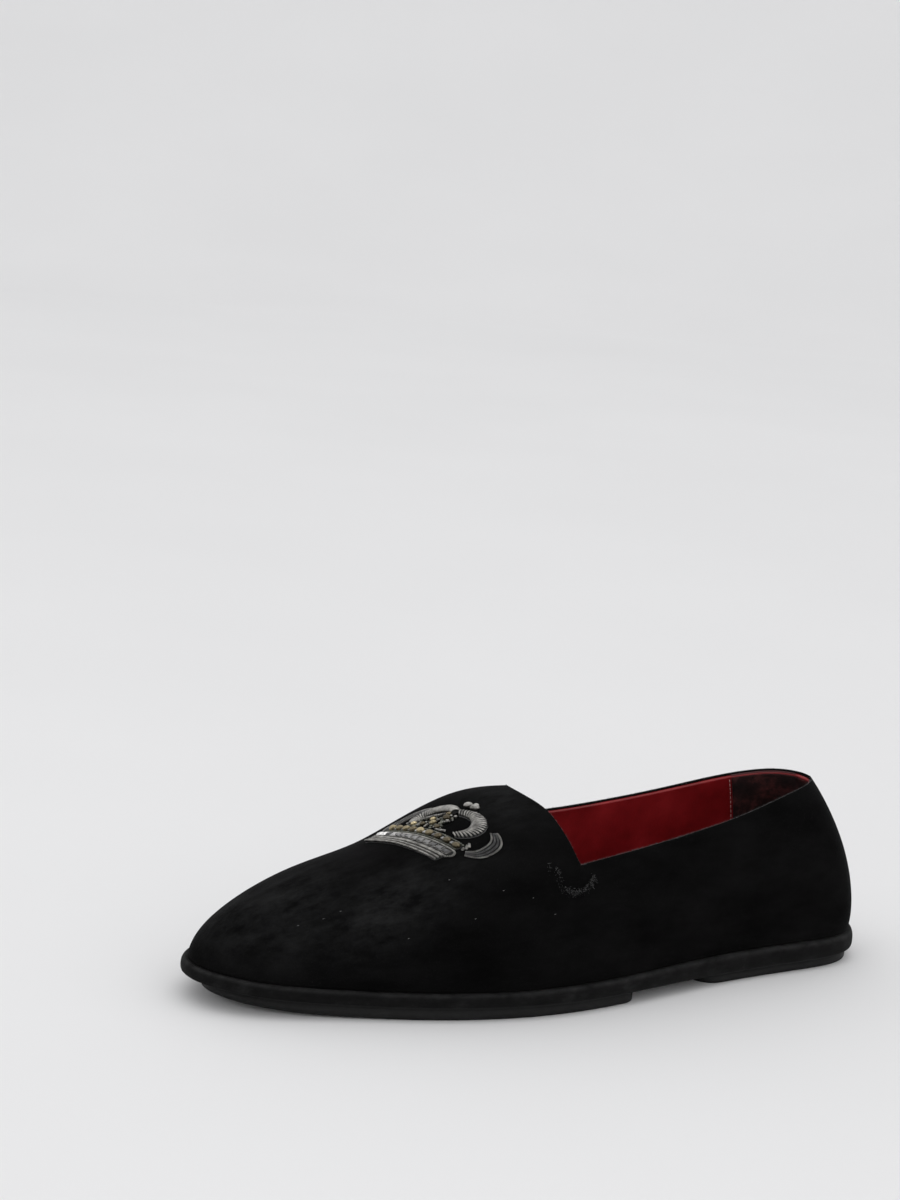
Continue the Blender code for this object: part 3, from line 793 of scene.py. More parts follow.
def add_velvet():
    """Velvet upper: the wall of the solid at a fine step, with its creases and a rolled top edge."""
    velvet = sheet_object("velvet_upper", wall_grids(fine_stations()), ["velvet"])
    points, normals = mesh_arrays(velvet)
    set_points(velvet, points + crease_rise(points, normals)[:, None] * normals)
    # The nap attribute holds painted sheen where the toe and vamp face up.
    add_values(velvet, "nap", painted_top_sheen(points, normals))
    thicken(velvet, VELVET_THICK)
    roll = velvet.modifiers.new("rolled_edge", "BEVEL")
    roll.width = EDGE_ROLL * MM
    roll.segments = 3
    roll.limit_method = "ANGLE"
    roll.angle_limit = np.radians(EDGE_ANGLE)
    finish_piece(velvet, "upper")


def inward(grids, depth):
    """The same grids moved inside the wall by a depth."""
    moved = {}
    for side in (OUTER, INNER):
        along = np.gradient(grids[side], axis=0)
        up = np.gradient(grids[side], axis=1)
        normal = side * np.cross(up, along)
        normal /= np.maximum(np.linalg.norm(normal, axis=2), 1e-9)[..., None]
        moved[side] = grids[side] - depth * normal
    return moved


LINING_TRIM = 0.35
LINING_THICK = 1.1
PATCH_SHARE = 0.115
PATCH_THICK = 0.5


def add_lining():
    """Red leather inside the wall, with the suede heel patch over it."""
    share = fine_stations(LINING_TRIM)
    share = share[(share > 0.002) & (share < 0.995)]
    grids = inward(wall_grids(share, LINING_TRIM, 0.02), VELVET_THICK + 0.06)
    lining = sheet_object("lining", grids, ["leather"])
    thicken(lining, LINING_THICK)
    share = share[share < PATCH_SHARE]
    share = np.concatenate([share, [PATCH_SHARE]])
    grids = inward(wall_grids(share, LINING_TRIM + 0.5, 0.02), VELVET_THICK + LINING_THICK + 0.14)
    patch = sheet_object("heel_patch", grids, ["patch"])
    thicken(patch, PATCH_THICK)


def add_pile_edge():
    """Loose fibres along the top edge."""
    draw = np.random.default_rng(11)
    bundle = Bundle()
    share = np.linspace(0.001, crest_share() - 0.0005, 900)
    for side in (OUTER, INNER):
        edge = rib_points(share, side, cut_level(share, side)[:, None])[:, 0]
        below = rib_points(share, side, cut_level(share, side)[:, None] - 0.03)[:, 0]
        rise = edge - below
        rise /= np.linalg.norm(rise, axis=1)[:, None]
        run = np.gradient(edge, axis=0)
        run /= np.linalg.norm(run, axis=1)[:, None]
        out = side * np.cross(rise, run)
        for _ in range(3):
            pick = draw.integers(0, len(share), 1100)
            depth = draw.uniform(0.05, VELVET_THICK - 0.1, len(pick))
            lean = draw.normal(0.0, 0.5, (len(pick), 3))
            ahead = rise[pick] + lean
            ahead /= np.linalg.norm(ahead, axis=1)[:, None]
            roots = edge[pick] - depth[:, None] * out[pick] - 0.25 * rise[pick]
            fibres(bundle, roots, ahead, draw.uniform(0.45, 1.05, len(pick)), 0.05)
    bundle.make("pile_edge", ["pile"])


# Crushed pile round the tack that holds the notch, and pale lint, as places along and up the outer wall
WallRow = namedtuple("WallRow", "along height")
TACK = [
    WallRow(138.2, 52.2), WallRow(139.8, 49.5), WallRow(143.4, 48.0), WallRow(149.4, 47.5),
    WallRow(153.7, 49.7), WallRow(156.3, 57.1),
]
LINT = [
    WallRow(196.0, 52.0), WallRow(178.0, 50.0), WallRow(168.0, 47.0), WallRow(190.0, 40.0),
    WallRow(158.0, 41.0), WallRow(252.0, 34.0), WallRow(236.0, 40.0), WallRow(243.0, 37.0),
    WallRow(214.0, 32.0),
]
TACK_TUFTS = 130
TACK_SPREAD = 0.7


def outer_wall(rows):
    """Points of the outer wall at places along and up it."""
    grid = wall_grids(fine_stations())[OUTER].reshape(-1, 3)
    return np.array([grid[np.argmin((grid[:, 0] - x) ** 2 + (grid[:, 2] - z) ** 2)] for x, z in rows])


def add_tack():
    """Crushed pile in a bow under the notch, and the odd pale fibre on the side."""
    draw = np.random.default_rng(5)
    bundle = Bundle()
    keys = np.linspace(0, len(TACK) - 1, TACK_TUFTS)
    rows = np.column_stack([np.interp(keys, np.arange(len(TACK)), values) for values in zip(*TACK)])
    for spot in outer_wall(rows):
        roots = spot + draw.normal(0.0, TACK_SPREAD, (4, 3)) * (1.0, 0.15, 1.0)
        ahead = np.array([0.0, 0.85, 0.35]) + draw.normal(0.0, 0.45, (4, 3))
        ahead /= np.linalg.norm(ahead, axis=1)[:, None]
        fibres(bundle, roots, ahead, draw.uniform(0.6, 1.4, 4), 0.12)
    for spot in outer_wall(LINT):
        ahead = np.array([[0.3, 0.8, 0.4], [-0.5, 0.6, 0.4]])
        ahead /= np.linalg.norm(ahead, axis=1)[:, None]
        fibres(bundle, np.tile(spot, (2, 1)), ahead, np.array([1.1, 0.8]), 0.14, 1)
    bundle.make("tack_and_lint", ["crushed_pile", "lint"])


SEAM_LEVELS = (0.30, 0.99)
STITCH_STEP = 2.4
STITCH_LENGTH = 1.5
STITCH_RADIUS = 0.16
EDGE_RADIUS = 0.40


def add_seam():
    """Pale stitches where the lining meets the heel patch, and the maroon edge round the heel's top."""
    bundle = Bundle()
    shares = PATCH_SHARE + np.linspace(0.002, 0.006, 5)
    grids = inward(wall_grids(shares, LINING_TRIM, 0.02), VELVET_THICK + LINING_THICK + 0.20)
    heel = np.linspace(0.002, PATCH_SHARE, 60)
    tops = inward(wall_grids(heel, LINING_TRIM, 0.02), VELVET_THICK + 0.45)
    for side in (OUTER, INNER):
        line = grids[side][len(shares) // 2]
        run = run_length(line)
        low, high = [part * run[-1] for part in SEAM_LEVELS]
        for start in np.arange(low, high - STITCH_LENGTH, STITCH_STEP):
            at = np.linspace(start, start + STITCH_LENGTH, 4)
            path = np.column_stack([np.interp(at, run, line[:, axis]) for axis in range(3)])
            bundle.tube(path, STITCH_RADIUS, np.tile((1.0, 0.0, 0.0), (len(path), 1)), 5, 0)
        edge = tops[side][2:, -1]
        bundle.tube(edge, EDGE_RADIUS, np.tile((0.0, 0.0, 1.0), (len(edge), 1)), 6, 1)
    bundle.make("lining_seam", ["pale_thread", "maroon_edge"])


# Sole

def add_slab(name, share, layers, looks, columns=10, crown=0.0):
    """Solid between stacked outlines; a layer is its reach past the feather line, height and painted
    highlight.
    """
    points = []
    count = len(share)
    for reach, height, _ in layers:
        for side in (OUTER, INNER):
            plan, _ = plan_point(share, side, reach(share))
            for end, place in ((0, share[0]), (-1, share[-1])):
                if 0.0 < place < 1.0:
                    plan[end, 0] = OUTLINE_START + place * OUTLINE_LENGTH
            points.append(np.column_stack([plan, height(plan[:, 0])]))
    rings = np.array(points).reshape(len(layers), 2, count, 3)
    part = np.linspace(0, 1, columns)
    across = (1 - part)[:, None, None] * rings[:, None, 0] + part[:, None, None] * rings[:, None, 1]
    toe_end, heel_end = across[:, 1:-1, -1], across[:, -2:0:-1, 0]
    loop = np.concatenate([rings[:, 0], toe_end, rings[:, 1, ::-1], heel_end], axis=1)
    size = loop.shape[1]
    faces = ring_faces(len(layers), size)
    everything = [loop.reshape(-1, 3)]
    # Third layer value: how much painted highlight each ring of points gets.
    painted_highlight = [np.repeat([layer[2] for layer in layers], size)]
    first = len(layers) * size
    for ring, lift in ((rings[0], 0.0), (rings[-1], crown)):
        cap = (1 - part)[None, :, None] * ring[0][:, None] + part[None, :, None] * ring[1][:, None]
        cap[..., 2] += lift * (4 * part * (1 - part)) ** 0.7
        everything.append(cap.reshape(-1, 3))
        painted_highlight.append(np.zeros(count * columns))
        faces.extend(grid_faces(count, columns, first).tolist())
        first += count * columns
    points = np.concatenate(everything)
    obj = add_object(name, points, faces, looks, weld=False)
    add_values(obj, "painted_highlight", np.concatenate(painted_highlight))
    weld_mesh(obj.data)
    return obj


def sole_stations(low, high):
    """Close stations between two places, closer still where the outline turns at heel and toe."""
    whole = (1 - np.cos(np.linspace(0, np.pi, SOLE_STATIONS))) / 2
    corner = PAD_CORNER * (1 - np.cos(np.linspace(0, np.pi / 2, CORNER_STATIONS))) / OUTLINE_LENGTH
    start = low + corner if low > 0.0 else np.array([low])
    end = high - corner[::-1] if high < 1.0 else np.array([high])
    inside = whole[(whole > start[-1] + 0.001) & (whole < end[0] - 0.001)]
    return np.concatenate([start, inside, end])


def level(value):
    """The same reach at every place."""
    return lambda places: np.full(len(places), value)


def add_midsole():
    """Wrapped midsole with its rounded side, a little uneven as folded suede is."""
    keys = np.linspace(0, 1, len(MIDSOLE_EDGE))
    fine = spline(keys, [(edge.reach, edge.rise) for edge in MIDSOLE_EDGE], np.linspace(0, 1, 16))
    layers = []
    for reach, rise in fine:
        def height(x, part=rise):
            uneven = 0.10 * np.sin(x / 11.0) * np.sin(x / 4.7 + 1.0) * part
            return midsole_bottom(x) + part * (midsole_thickness(x) - PIECE_GAP) + uneven
        # Painted highlight: strongest on the upward-facing shoulder near the top of the side.
        painted_highlight = np.exp(-((rise - 0.93) / 0.13) ** 2)
        layers.append((level(reach * MIDSOLE_REACH), height, painted_highlight))
    midsole = add_slab("midsole_wrap", sole_stations(0.0, 1.0), layers, ["suede"])
    finish_piece(midsole, "midsole")


def pad_side(places, low, high):
    """Side of a pad against the feather line: set back at the toe, rounded at a straight end's corners."""
    toward_toe = np.clip((places - PAD_TOE_START) / (1 - PAD_TOE_START), 0.0, 1.0)
    inward = np.full(len(places), PAD_CORNER)
    if low > 0.0:
        inward = np.minimum(inward, (places - low) * OUTLINE_LENGTH)
    if high < 1.0:
        inward = np.minimum(inward, (high - places) * OUTLINE_LENGTH)
    rounding = PAD_CORNER - np.sqrt(PAD_CORNER ** 2 - (PAD_CORNER - inward) ** 2)
    return -PAD_INSET - PAD_TOE_SETBACK * toward_toe ** 2 - rounding


def add_pad(name, node, low, high):
    """Outsole pad with a softened lower edge and a groove round it under the midsole."""
    def top(x):
        return midsole_bottom(x) - PIECE_GAP

    def between(part):
        return lambda x: pad_bottom(x) + part * (top(x) - pad_bottom(x))

    steps = [(-PAD_EDGE, 0.0), (-0.35 * PAD_EDGE, 0.05), (-0.08 * PAD_EDGE, 0.14), (0.0, 0.28), (0.0, 0.62),
             (-0.45, 0.70), (-0.45, 0.80), (0.0, 0.88), (0.0, 1.0)]
    layers = [(lambda places, more=reach: pad_side(places, low, high) + more, between(part), 0.0)
              for reach, part in steps]
    pad = add_slab(name, sole_stations(low, high), layers, ["rubber"])
    finish_piece(pad, node)


def add_insole():
    """Leather sock with a softened edge and a slight crown."""
    reach = -UPPER_WALL - INSOLE_CLEAR
    layers = []
    for inset, part in ((0.2, 0.0), (0.0, 0.15), (0.0, 0.7), (0.35, 0.93), (1.1, 1.0)):
        def height(x, share=part):
            return feather_height(x) + share * INSOLE_THICK
        layers.append((level(reach - inset), height, 0.0))
    insole = add_slab("insole_sock", sole_stations(0.0, 1.0), layers, ["leather"], 16, 0.35)
    finish_piece(insole, "insole")


# Crown

ACROSS_RANGE = 46.0
ACROSS_STEP = 0.5


def vamp_sections():
    """Cross-sections of the vamp from the throat crest toward the toe, each at one place along it."""
    crest = crest_share()
    share = np.linspace(crest - BEHIND_CREST, 0.999, VAMP_RIBS)
    t = np.linspace(1, 0, VAMP_LEVELS)
    ridge = rib_points(np.linspace(crest, VAMP_END, VAMP_CUTS), OUTER, np.ones((VAMP_CUTS, 1)))[:, 0]
    run = run_length(ridge)
    sections = {}
    for side in (OUTER, INNER):
        ribs = rib_points(share, side, np.tile(t, (len(share), 1)))
        curves = []
        for x in ridge[:, 0]:
            at = [np.interp(x, ribs[:, j, 0], share) for j in range(len(t))]
            cut = [[np.interp(at[j], share, ribs[:, j, axis]) for axis in (1, 2)] for j in range(len(t))]
            curves.append(np.column_stack([np.full(len(t), x), cut]))
        curves = np.array(curves)
        steps = np.linalg.norm(np.diff(curves, axis=1), axis=2)
        length = np.concatenate([np.zeros((len(curves), 1)), np.cumsum(steps, axis=1)], axis=1)
        sections[side] = curves, length
    return run, sections


def vamp_map():
    """Points and normals of the vamp over a grid of places ahead of the crest and across the ridge."""
    run, sections = vamp_sections()
    across = np.arange(-ACROSS_RANGE, ACROSS_RANGE + ACROSS_STEP, ACROSS_STEP)
    points = np.zeros((len(run), len(across), 3))
    for side in (OUTER, INNER):
        curves, length = sections[side]
        pick = np.flatnonzero(across * side >= 0)
        for i in range(len(run)):
            for axis in range(3):
                points[i, pick, axis] = np.interp(abs(across[pick]), length[i], curves[i, :, axis])
    normals = np.cross(np.gradient(points, axis=0), np.gradient(points, axis=1))
    normals *= np.sign(normals[..., 2:]) / np.linalg.norm(normals, axis=2)[..., None]
    return run, across, points, normals


VAMP_RUN, VAMP_ACROSS, VAMP_POINTS, VAMP_NORMALS = vamp_map()


def on_vamp(up, out, lift):
    """Points over the vamp in the crown's own directions, a lift off the velvet."""
    up, out, lift = np.broadcast_arrays(np.asarray(up, float), out, lift)
    ahead = CROWN_AHEAD - up - CROWN_BOW * (out / CROWN_HALF) ** 2 - CROWN_SLANT * out
    across = CROWN_SHIFT + CROWN_LEAN * up + np.where(out < 0, CROWN_INNER_SHARE, 1.0) * out
    row = np.interp(ahead, VAMP_RUN, np.arange(len(VAMP_RUN)))
    column = np.interp(across, VAMP_ACROSS, np.arange(len(VAMP_ACROSS)))
    i = np.clip(row.astype(int), 0, len(VAMP_RUN) - 2)
    j = np.clip(column.astype(int), 0, len(VAMP_ACROSS) - 2)
    a, b = (row - i)[..., None], (column - j)[..., None]

    def blend(grid):
        near = (1 - a) * grid[i, j] + a * grid[i + 1, j]
        far = (1 - a) * grid[i, j + 1] + a * grid[i + 1, j + 1]
        return (1 - b) * near + b * far

    return blend(VAMP_POINTS) + lift[..., None] * blend(VAMP_NORMALS)


def smooth_line(rows, spacing):
    """Line through rows of up, out and more columns, with its heading, stepped by the spacing."""
    rows = np.array(rows, float)
    keys = run_length(rows[:, :2])
    at = np.linspace(0.0, keys[-1], max(int(round(keys[-1] / spacing)), 2) + 1)
    line = spline(keys, rows, at)
    ahead = spline(keys, rows, at + 0.05) - spline(keys, rows, at - 0.05)
    return line, ahead[:, :2] / np.linalg.norm(ahead[:, :2], axis=1)[:, None]


def mirrored(rows, side):
    return [(row[0], side * row[1], *row[2:]) for row in rows]


COIL_STEPS = 8
Coil = namedtuple("Coil", "radius pitch wire lift")
CORD_COIL = Coil(0.42, 0.72, 0.20, 0.85)
EDGE_COIL = Coil(0.36, 0.62, 0.17, 0.80)
PURL_COIL = Coil(0.40, 0.62, 0.18, 0.85)


def add_coil(bundle, rows, coil, look=0):
    """Purl: fine wire wound round a line that lies on the velvet."""
    line, heading = smooth_line(rows, coil.pitch / COIL_STEPS)
    angle = 2 * np.pi * np.arange(len(line)) / COIL_STEPS
    aside = coil.radius * np.cos(angle)
    up = line[:, 0] - heading[:, 1] * aside
    out = line[:, 1] + heading[:, 0] * aside
    path = on_vamp(up, out, coil.lift + coil.radius * np.sin(angle))
    middle = on_vamp(line[:, 0], line[:, 1], np.full(len(line), coil.lift))
    bundle.tube(path, coil.wire, path - middle, 4, look)


PaddingEdge = namedtuple("PaddingEdge", "across rise")
PADDING_EDGE = [
    PaddingEdge(-1.0, 0.05), PaddingEdge(-0.8, 0.62), PaddingEdge(-0.3, 1.0), PaddingEdge(0.3, 1.0),
    PaddingEdge(0.8, 0.62), PaddingEdge(1.0, 0.05), PaddingEdge(0.33, 0.05), PaddingEdge(-0.33, 0.05),
]
PADDING_STEP = 0.8


def add_padding(bundle, rows, height, look):
    """Half-round padding under wire-work; the rows give up, out and width."""
    line, heading = smooth_line(rows, PADDING_STEP)
    spots = []
    for across, rise in PADDING_EDGE:
        reach = across * line[:, 2] / 2
        up = line[:, 0] - heading[:, 1] * reach
        out = line[:, 1] + heading[:, 0] * reach
        spots.append(on_vamp(up, out, np.full(len(line), rise * height)))
    points = np.stack(spots, axis=1)
    size = len(PADDING_EDGE)
    faces = [tuple(range(size)), tuple((len(line) - 1) * size + j for j in range(size))[::-1]]
    faces.extend((a, d, c, b) for a, b, c, d in ring_faces(len(line), size))
    bundle.add(points, faces, look)


def add_satin(bundle, rows, height, pitch, wire, slant, look=0):
    """Wires laid side by side over padding, from edge to edge of the strip."""
    line, heading = smooth_line(rows, pitch)
    across = np.linspace(-1.0, 1.0, 11)
    rise = np.sqrt(np.maximum(1 - (0.97 * across) ** 2, 0.0))
    for (up, out, width), (ahead_up, ahead_out) in zip(line, heading):
        reach = across * width / 2
        shift = slant * reach
        spot_up = up - ahead_out * reach + ahead_up * shift
        spot_out = out + ahead_up * reach + ahead_out * shift
        path = on_vamp(spot_up, spot_out, 0.2 + height * rise)
        above = on_vamp(spot_up, spot_out, 1.2 + height * rise)
        bundle.tube(path, wire, above - path, 5, look)


def ball(detail):
    """Points and faces of a round bead of unit radius."""
    work = bmesh.new()
    bmesh.ops.create_icosphere(work, subdivisions=detail, radius=1.0)
    work.verts.ensure_lookup_table()
    points = np.array([vert.co[:] for vert in work.verts])
    faces = [[vert.index for vert in face.verts] for face in work.faces]
    work.free()
    return points, faces


FACETED = ball(2)
ROUND = ball(3)


def add_bead(bundle, up, out, radius, lift, look=0, shape=FACETED):
    points, faces = shape
    ahead, aside, rise = (radius * points).T
    bundle.add(on_vamp(up + ahead, out + aside, lift + rise), faces, look)


StoneLevel = namedtuple("StoneLevel", "scale rise")
CUP_LEVELS = [StoneLevel(0.95, 0.0), StoneLevel(1.08, 0.45), StoneLevel(1.02, 0.5)]
STONE_LEVELS = [
    StoneLevel(0.90, 0.42), StoneLevel(0.98, 0.55), StoneLevel(0.80, 0.85), StoneLevel(0.50, 1.0),
]


def add_square_stone(bundle, up, out, size, base, top, look, cup_look):
    """Square-cut stone in a thin cup: sloping sides up to a flat table."""
    corner = 0.22
    outline = [(1, -1 + corner), (1, 1 - corner), (1 - corner, 1), (-1 + corner, 1), (-1, 1 - corner),
               (-1, -1 + corner), (-1 + corner, -1), (1 - corner, -1)]
    outline = np.array(outline) * size / 2
    ring = len(outline)

    def stack(levels, look_index):
        spots = [on_vamp(up + level.scale * outline[:, 0], out + level.scale * outline[:, 1],
                         np.full(ring, base + level.rise * (top - base))) for level in levels]
        faces = [tuple(range(ring))[::-1], tuple((len(levels) - 1) * ring + j for j in range(ring))]
        faces.extend(ring_faces(len(levels), ring))
        bundle.add(np.concatenate(spots), faces, look_index)

    stack(CUP_LEVELS, cup_look)
    stack(STONE_LEVELS, look)


BAND_END = 20.6
CORD_MIDDLE = 1.7
CORD_PLACES = (0.30, 1.70, 3.10)
STONE_UP = 5.9
STONE_COUNT = 13
STONE_PITCH = 3.25
STONE_SIZE = 2.5
BEAD_UP = 10.9
BEAD_COUNT = 9
BEAD_PITCH = 4.7
SEED_UP = (9.1, 12.7)
SEED_END = 20.2
SEED_STEP = 1.18
STRAY_SEED = 11

# What fills the middle of the crown: gold beads, short silver purls and small seeds round a bare oval
BeadRow = namedtuple("BeadRow", "up out radius")
GOLD_BEADS = [
    BeadRow(21.6, 0.6, 1.45), BeadRow(17.2, -1.5, 1.35), BeadRow(15.6, -6.0, 1.25), BeadRow(15.6, 2.8, 1.15),
    BeadRow(19.6, -5.4, 1.15), BeadRow(15.2, -11.6, 1.25), BeadRow(24.2, -2.2, 1.10),
]
PurlRow = namedtuple("PurlRow", "up out up_to out_to")
PURLS = [
    PurlRow(15.4, -17.0, 17.4, -13.8), PurlRow(17.2, -16.6, 19.4, -13.0), PurlRow(18.8, -12.4, 21.4, -9.2),
    PurlRow(20.4, -11.4, 23.0, -8.0), PurlRow(22.0, -8.0, 24.4, -4.8), PurlRow(15.4, -3.8, 18.8, -3.4),
    PurlRow(18.4, 1.0, 20.6, 3.4), PurlRow(14.2, 4.6, 15.0, 7.8), PurlRow(14.6, -8.6, 17.0, -9.8),
    PurlRow(10.6, 22.0, 12.2, 21.2), PurlRow(12.2, 22.2, 13.8, 20.8), PurlRow(13.8, 22.0, 15.2, 20.2),
]
STRAY_AREA = ((14.0, 24.5), (-16.0, 3.6))
STRAY_COUNT = 90
HOLE = BeadRow(18.9, 8.4, 4.5)


def straight(up, end):
    """Rows along the base from one end of the crown to the other."""
    return [(up, -end), (up, -end / 2), (up, 0.0), (up, end / 2), (up, end)]


def add_cords():
    bundle = Bundle()
    add_padding(bundle, [(*row, 3.4) for row in straight(CORD_MIDDLE, BAND_END)], 0.55, 1)
    for up in CORD_PLACES:
        add_coil(bundle, straight(up, BAND_END), CORD_COIL)
    finish_piece(bundle.make("base_cords", ["silver", "dark_felt"]), "crown_cords")


def add_crystals():
    """Square stones between two purls that meet in a point at each end."""
    bundle = Bundle()
    end = BAND_END + 0.8
    low, high = STONE_UP - 2.1, STONE_UP + 2.1
    add_padding(bundle, [(*row, 4.2) for row in straight(STONE_UP, end)], 0.6, 2)
    for up in (low, high):
        add_coil(bundle, straight(up, end), EDGE_COIL, 1)
    for i in range(STONE_COUNT):
        out = (i - (STONE_COUNT - 1) / 2) * STONE_PITCH
        add_square_stone(bundle, STONE_UP, out, STONE_SIZE, 0.55, 2.1, 0, 1)
    for side in (OUTER, INNER):
        corner = [(low, side * end), (STONE_UP, side * (end + 1.2)), (high, side * end)]
        add_coil(bundle, corner, EDGE_COIL, 1)
    piece = bundle.make("crystal_band", ["crystal", "silver", "dark_felt"], smooth=False)
    finish_piece(piece, "crown_crystals")


def add_strays(bundle, gold, seed, silver):
    """Jumble of gold beads, small seeds and purls that fills the middle of the crown."""
    rng = np.random.default_rng(STRAY_SEED)
    for bead in GOLD_BEADS:
        add_bead(bundle, bead.up, bead.out, bead.radius, 0.9 * bead.radius, gold)
    for purl in PURLS:
        middle = ((purl.up + purl.up_to) / 2, (purl.out + purl.out_to) / 2)
        rows = [(purl.up, purl.out), middle, (purl.up_to, purl.out_to)]
        add_coil(bundle, rows, PURL_COIL, silver)
    (up_low, up_high), (out_low, out_high) = STRAY_AREA
    for _ in range(STRAY_COUNT):
        up, out = rng.uniform(up_low, up_high), rng.uniform(out_low, out_high)
        radius = rng.uniform(0.45, 0.80)
        inside = up < 24.5 + 0.45 * min(out, 0.0)
        clear = np.hypot(up - HOLE.up, out - HOLE.out) > HOLE.radius
        if inside and clear:
            add_bead(bundle, up, out, radius, 0.9 * radius, rng.choice([seed, seed, silver]))


def add_beads():
    bundle = Bundle()
    add_padding(bundle, [(*row, 4.4) for row in straight(BEAD_UP, SEED_END)], 0.5, 3)
    for i in range(BEAD_COUNT):
        out = (i - (BEAD_COUNT - 1) / 2) * BEAD_PITCH
        add_bead(bundle, BEAD_UP, out, 1.55, 1.45, 0)
        if i < BEAD_COUNT - 1:
            add_square_stone(bundle, BEAD_UP, out + BEAD_PITCH / 2, 1.7, 0.5, 1.7, 1, 2)
    for up in SEED_UP:
        for out in np.arange(-SEED_END, SEED_END, SEED_STEP):
            add_bead(bundle, up, out, 0.56, 0.85, 2)
    add_strays(bundle, 0, 2, 4)
    piece = bundle.make("bead_row", ["champagne", "crystal", "seed", "dark_felt", "silver"], smooth=False)
    finish_piece(piece, "crown_beads")


def add_arches():
    for side, word in ((OUTER, "outer"), (INNER, "inner")):
        rows = mirrored(CROWN_ARCH, side)
        bundle = Bundle()
        add_padding(bundle, rows, 1.9, 1)
        add_satin(bundle, rows, 2.0, 1.05, 0.36, 0.35 * side)
        piece = bundle.make("arch_wires_" + word, ["silver", "dark_felt"])
        finish_piece(piece, "crown_arch_" + word)


LoopWire = namedtuple("LoopWire", "share coil look")
LOOP_WIRES = [
    LoopWire(0.95, Coil(0.32, 0.62, 0.15, 0.62), 0), LoopWire(0.32, Coil(0.30, 0.62, 0.15, 0.62), 1),
    LoopWire(-0.30, Coil(0.30, 0.62, 0.15, 0.62), 1), LoopWire(-0.92, Coil(0.28, 0.62, 0.15, 0.62), 0),
]


def offset_rows(rows, share):
    """Rows moved to the side of their line by a share of the half width."""
    line, heading = smooth_line(rows, 3.0)
    return [(up - turn_out * share * width / 2, out + turn_up * share * width / 2)
            for (up, out, width), (turn_up, turn_out) in zip(line, heading)]


def add_loops():
    """Grey purl between a silver outer and a silver inner outline."""
    for side, word in ((OUTER, "outer"), (INNER, "inner")):
        rows = mirrored(CROWN_LOOP, side)
        bundle = Bundle()
        add_padding(bundle, rows, 0.35, 2)
        for wire in LOOP_WIRES:
            add_coil(bundle, offset_rows(rows, wire.share), wire.coil, wire.look)
        piece = bundle.make("loop_wires_" + word, ["silver", "grey_wire", "dark_felt"])
        finish_piece(piece, "crown_loop_" + word)


ORB = BeadRow(31.5, 1.0, 1.6)


def add_orb():
    bundle = Bundle()
    for side in (OUTER, INNER):
        add_bead(bundle, ORB.up, ORB.out + side * 1.75, ORB.radius, 1.45, 0, ROUND)
    add_bead(bundle, ORB.up + 1.9, ORB.out, 0.9, 1.1, 0, ROUND)
    finish_piece(bundle.make("orb_beads", ["silver"]), "crown_orb")


# Stage

Camera = namedtuple("Camera", "azimuth elevation distance aim_along aim_height roll lens sensor")
VIEW = Camera(32.45, 17.52, 1145.55, 191.23, 156.91, 4.62, 85.0, 36.0)
ORBIT = np.array([142.0, 0.0, 35.0])


def add_camera():
    """Camera at the photograph's angle, rolled as it is there."""
    azimuth, elevation, roll = np.radians([VIEW.azimuth, VIEW.elevation, VIEW.roll])
    level = np.cos(elevation)
    away = np.array([np.sin(azimuth) * level, np.cos(azimuth) * level, np.sin(elevation)])
    eye = ORBIT + VIEW.distance * away
    look = np.array([VIEW.aim_along, 0.0, VIEW.aim_height]) - eye
    look /= np.linalg.norm(look)
    right = np.cross(look, (0.0, 0.0, 1.0))
    right /= np.linalg.norm(right)
    up = np.cross(right, look)
    turned_right = np.cos(roll) * right + np.sin(roll) * up
    turned_up = np.cos(roll) * up - np.sin(roll) * right
    data = bpy.data.cameras.new("camera")
    data.lens = VIEW.lens
    data.sensor_width = VIEW.sensor
    camera = bpy.data.objects.new("camera", data)
    axes = np.column_stack([turned_right, turned_up, -look, MM * (eye - CENTRE)])
    camera.matrix_world = Matrix(np.vstack([axes, (0.0, 0.0, 0.0, 1.0)]).tolist())
    bpy.context.collection.objects.link(camera)
    bpy.context.scene.camera = camera


FLOOR_RADIUS = 2.4
SWEEP_RADIUS = 1.4
FLOOR_SIDES = 96


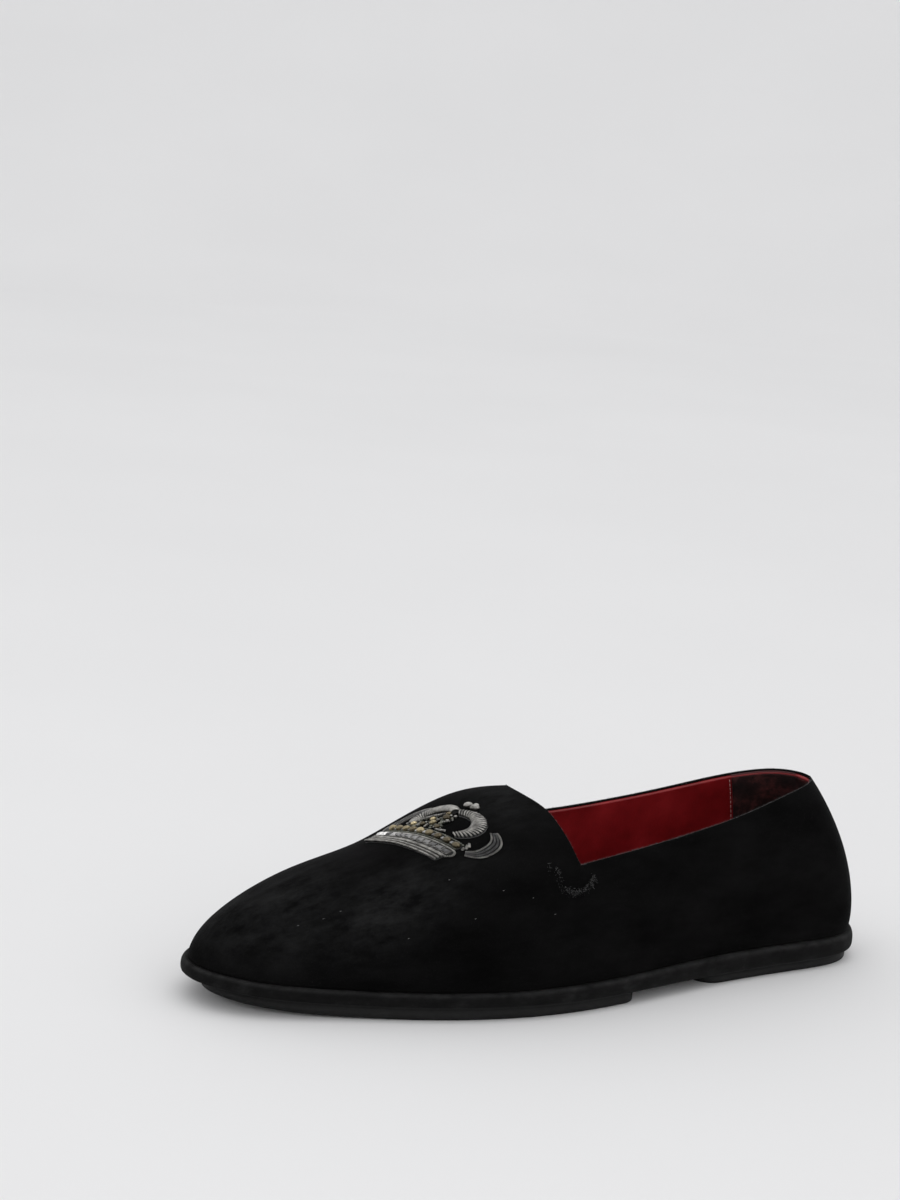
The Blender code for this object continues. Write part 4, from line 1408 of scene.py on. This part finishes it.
def add_floor():
    material, tree, shader = new_material("pale_floor", grey(0.84), 0.9)
    mottle = add_noise(tree, 400.0, 2.0)
    tone = add_ramp(tree, mottle, [(0.3, grey(0.83)), (0.7, grey(0.85))])
    tree.links.new(tone, shader.inputs["Base Color"])
    mesh = bpy.data.meshes.new("floor")
    angle = np.linspace(0, 2 * np.pi, FLOOR_SIDES, endpoint=False)
    bend = np.radians(np.arange(0, 86, 5))
    radius = FLOOR_RADIUS + SWEEP_RADIUS * np.sin(bend)
    rise = SWEEP_RADIUS * (1 - np.cos(bend))
    around = np.column_stack([np.cos(angle), np.sin(angle)])
    points = [(*(r * spot), z) for r, z in zip(radius, rise) for spot in around]
    faces = [list(range(FLOOR_SIDES))]
    faces.extend([b, a, d, c] for a, b, c, d in ring_faces(len(bend), FLOOR_SIDES))
    mesh.from_pydata(points, [], faces)
    mesh.polygons.foreach_set("use_smooth", [False] + [True] * (len(faces) - 1))
    mesh.materials.append(material)
    floor = bpy.data.objects.new("floor", mesh)
    bpy.context.collection.objects.link(floor)


WORLD_COLOR = (0.80, 0.80, 0.81)
WORLD_STRENGTH = 1.10
AreaLight = namedtuple("AreaLight", "name place aim size power")
LIGHTS = [
    AreaLight("top_softbox", (0.45, 0.10, 1.60), (0.05, 0.0, 0.0), 1.4, 2.5),
    AreaLight("front_fill", (0.30, 1.70, 0.55), (0.0, 0.0, 0.03), 1.2, 3.0),
]


def add_lights():
    for light in LIGHTS:
        data = bpy.data.lights.new(light.name, "AREA")
        data.size = light.size
        data.energy = light.power
        obj = bpy.data.objects.new(light.name, data)
        place = np.array(light.place)
        back = place - np.array(light.aim)
        back /= np.linalg.norm(back)
        side = np.cross((0.0, 1.0, 0.0), back)
        side /= np.linalg.norm(side)
        axes = np.column_stack([side, np.cross(back, side), back, place])
        obj.matrix_world = Matrix(np.vstack([axes, (0.0, 0.0, 0.0, 1.0)]).tolist())
        bpy.context.collection.objects.link(obj)
    world = bpy.data.worlds.new("studio")
    world.use_nodes = True
    sky = world.node_tree.nodes["Background"]
    sky.inputs["Color"].default_value = (*WORLD_COLOR, 1.0)
    sky.inputs["Strength"].default_value = WORLD_STRENGTH
    bpy.context.scene.world = world
    bpy.context.scene.view_settings.view_transform = "Standard"


add_camera()
add_floor()
add_lights()
add_velvet()
add_lining()
add_pile_edge()
add_tack()
add_seam()
add_midsole()
add_pad("forefoot_pad", "outsole_forefoot", FOREFOOT_PAD_START, 1.0)
add_pad("heel_pad", "outsole_heel", 0.0, HEEL_PAD_END)
add_insole()
add_cords()
add_crystals()
add_beads()
add_arches()
add_loops()
add_orb()
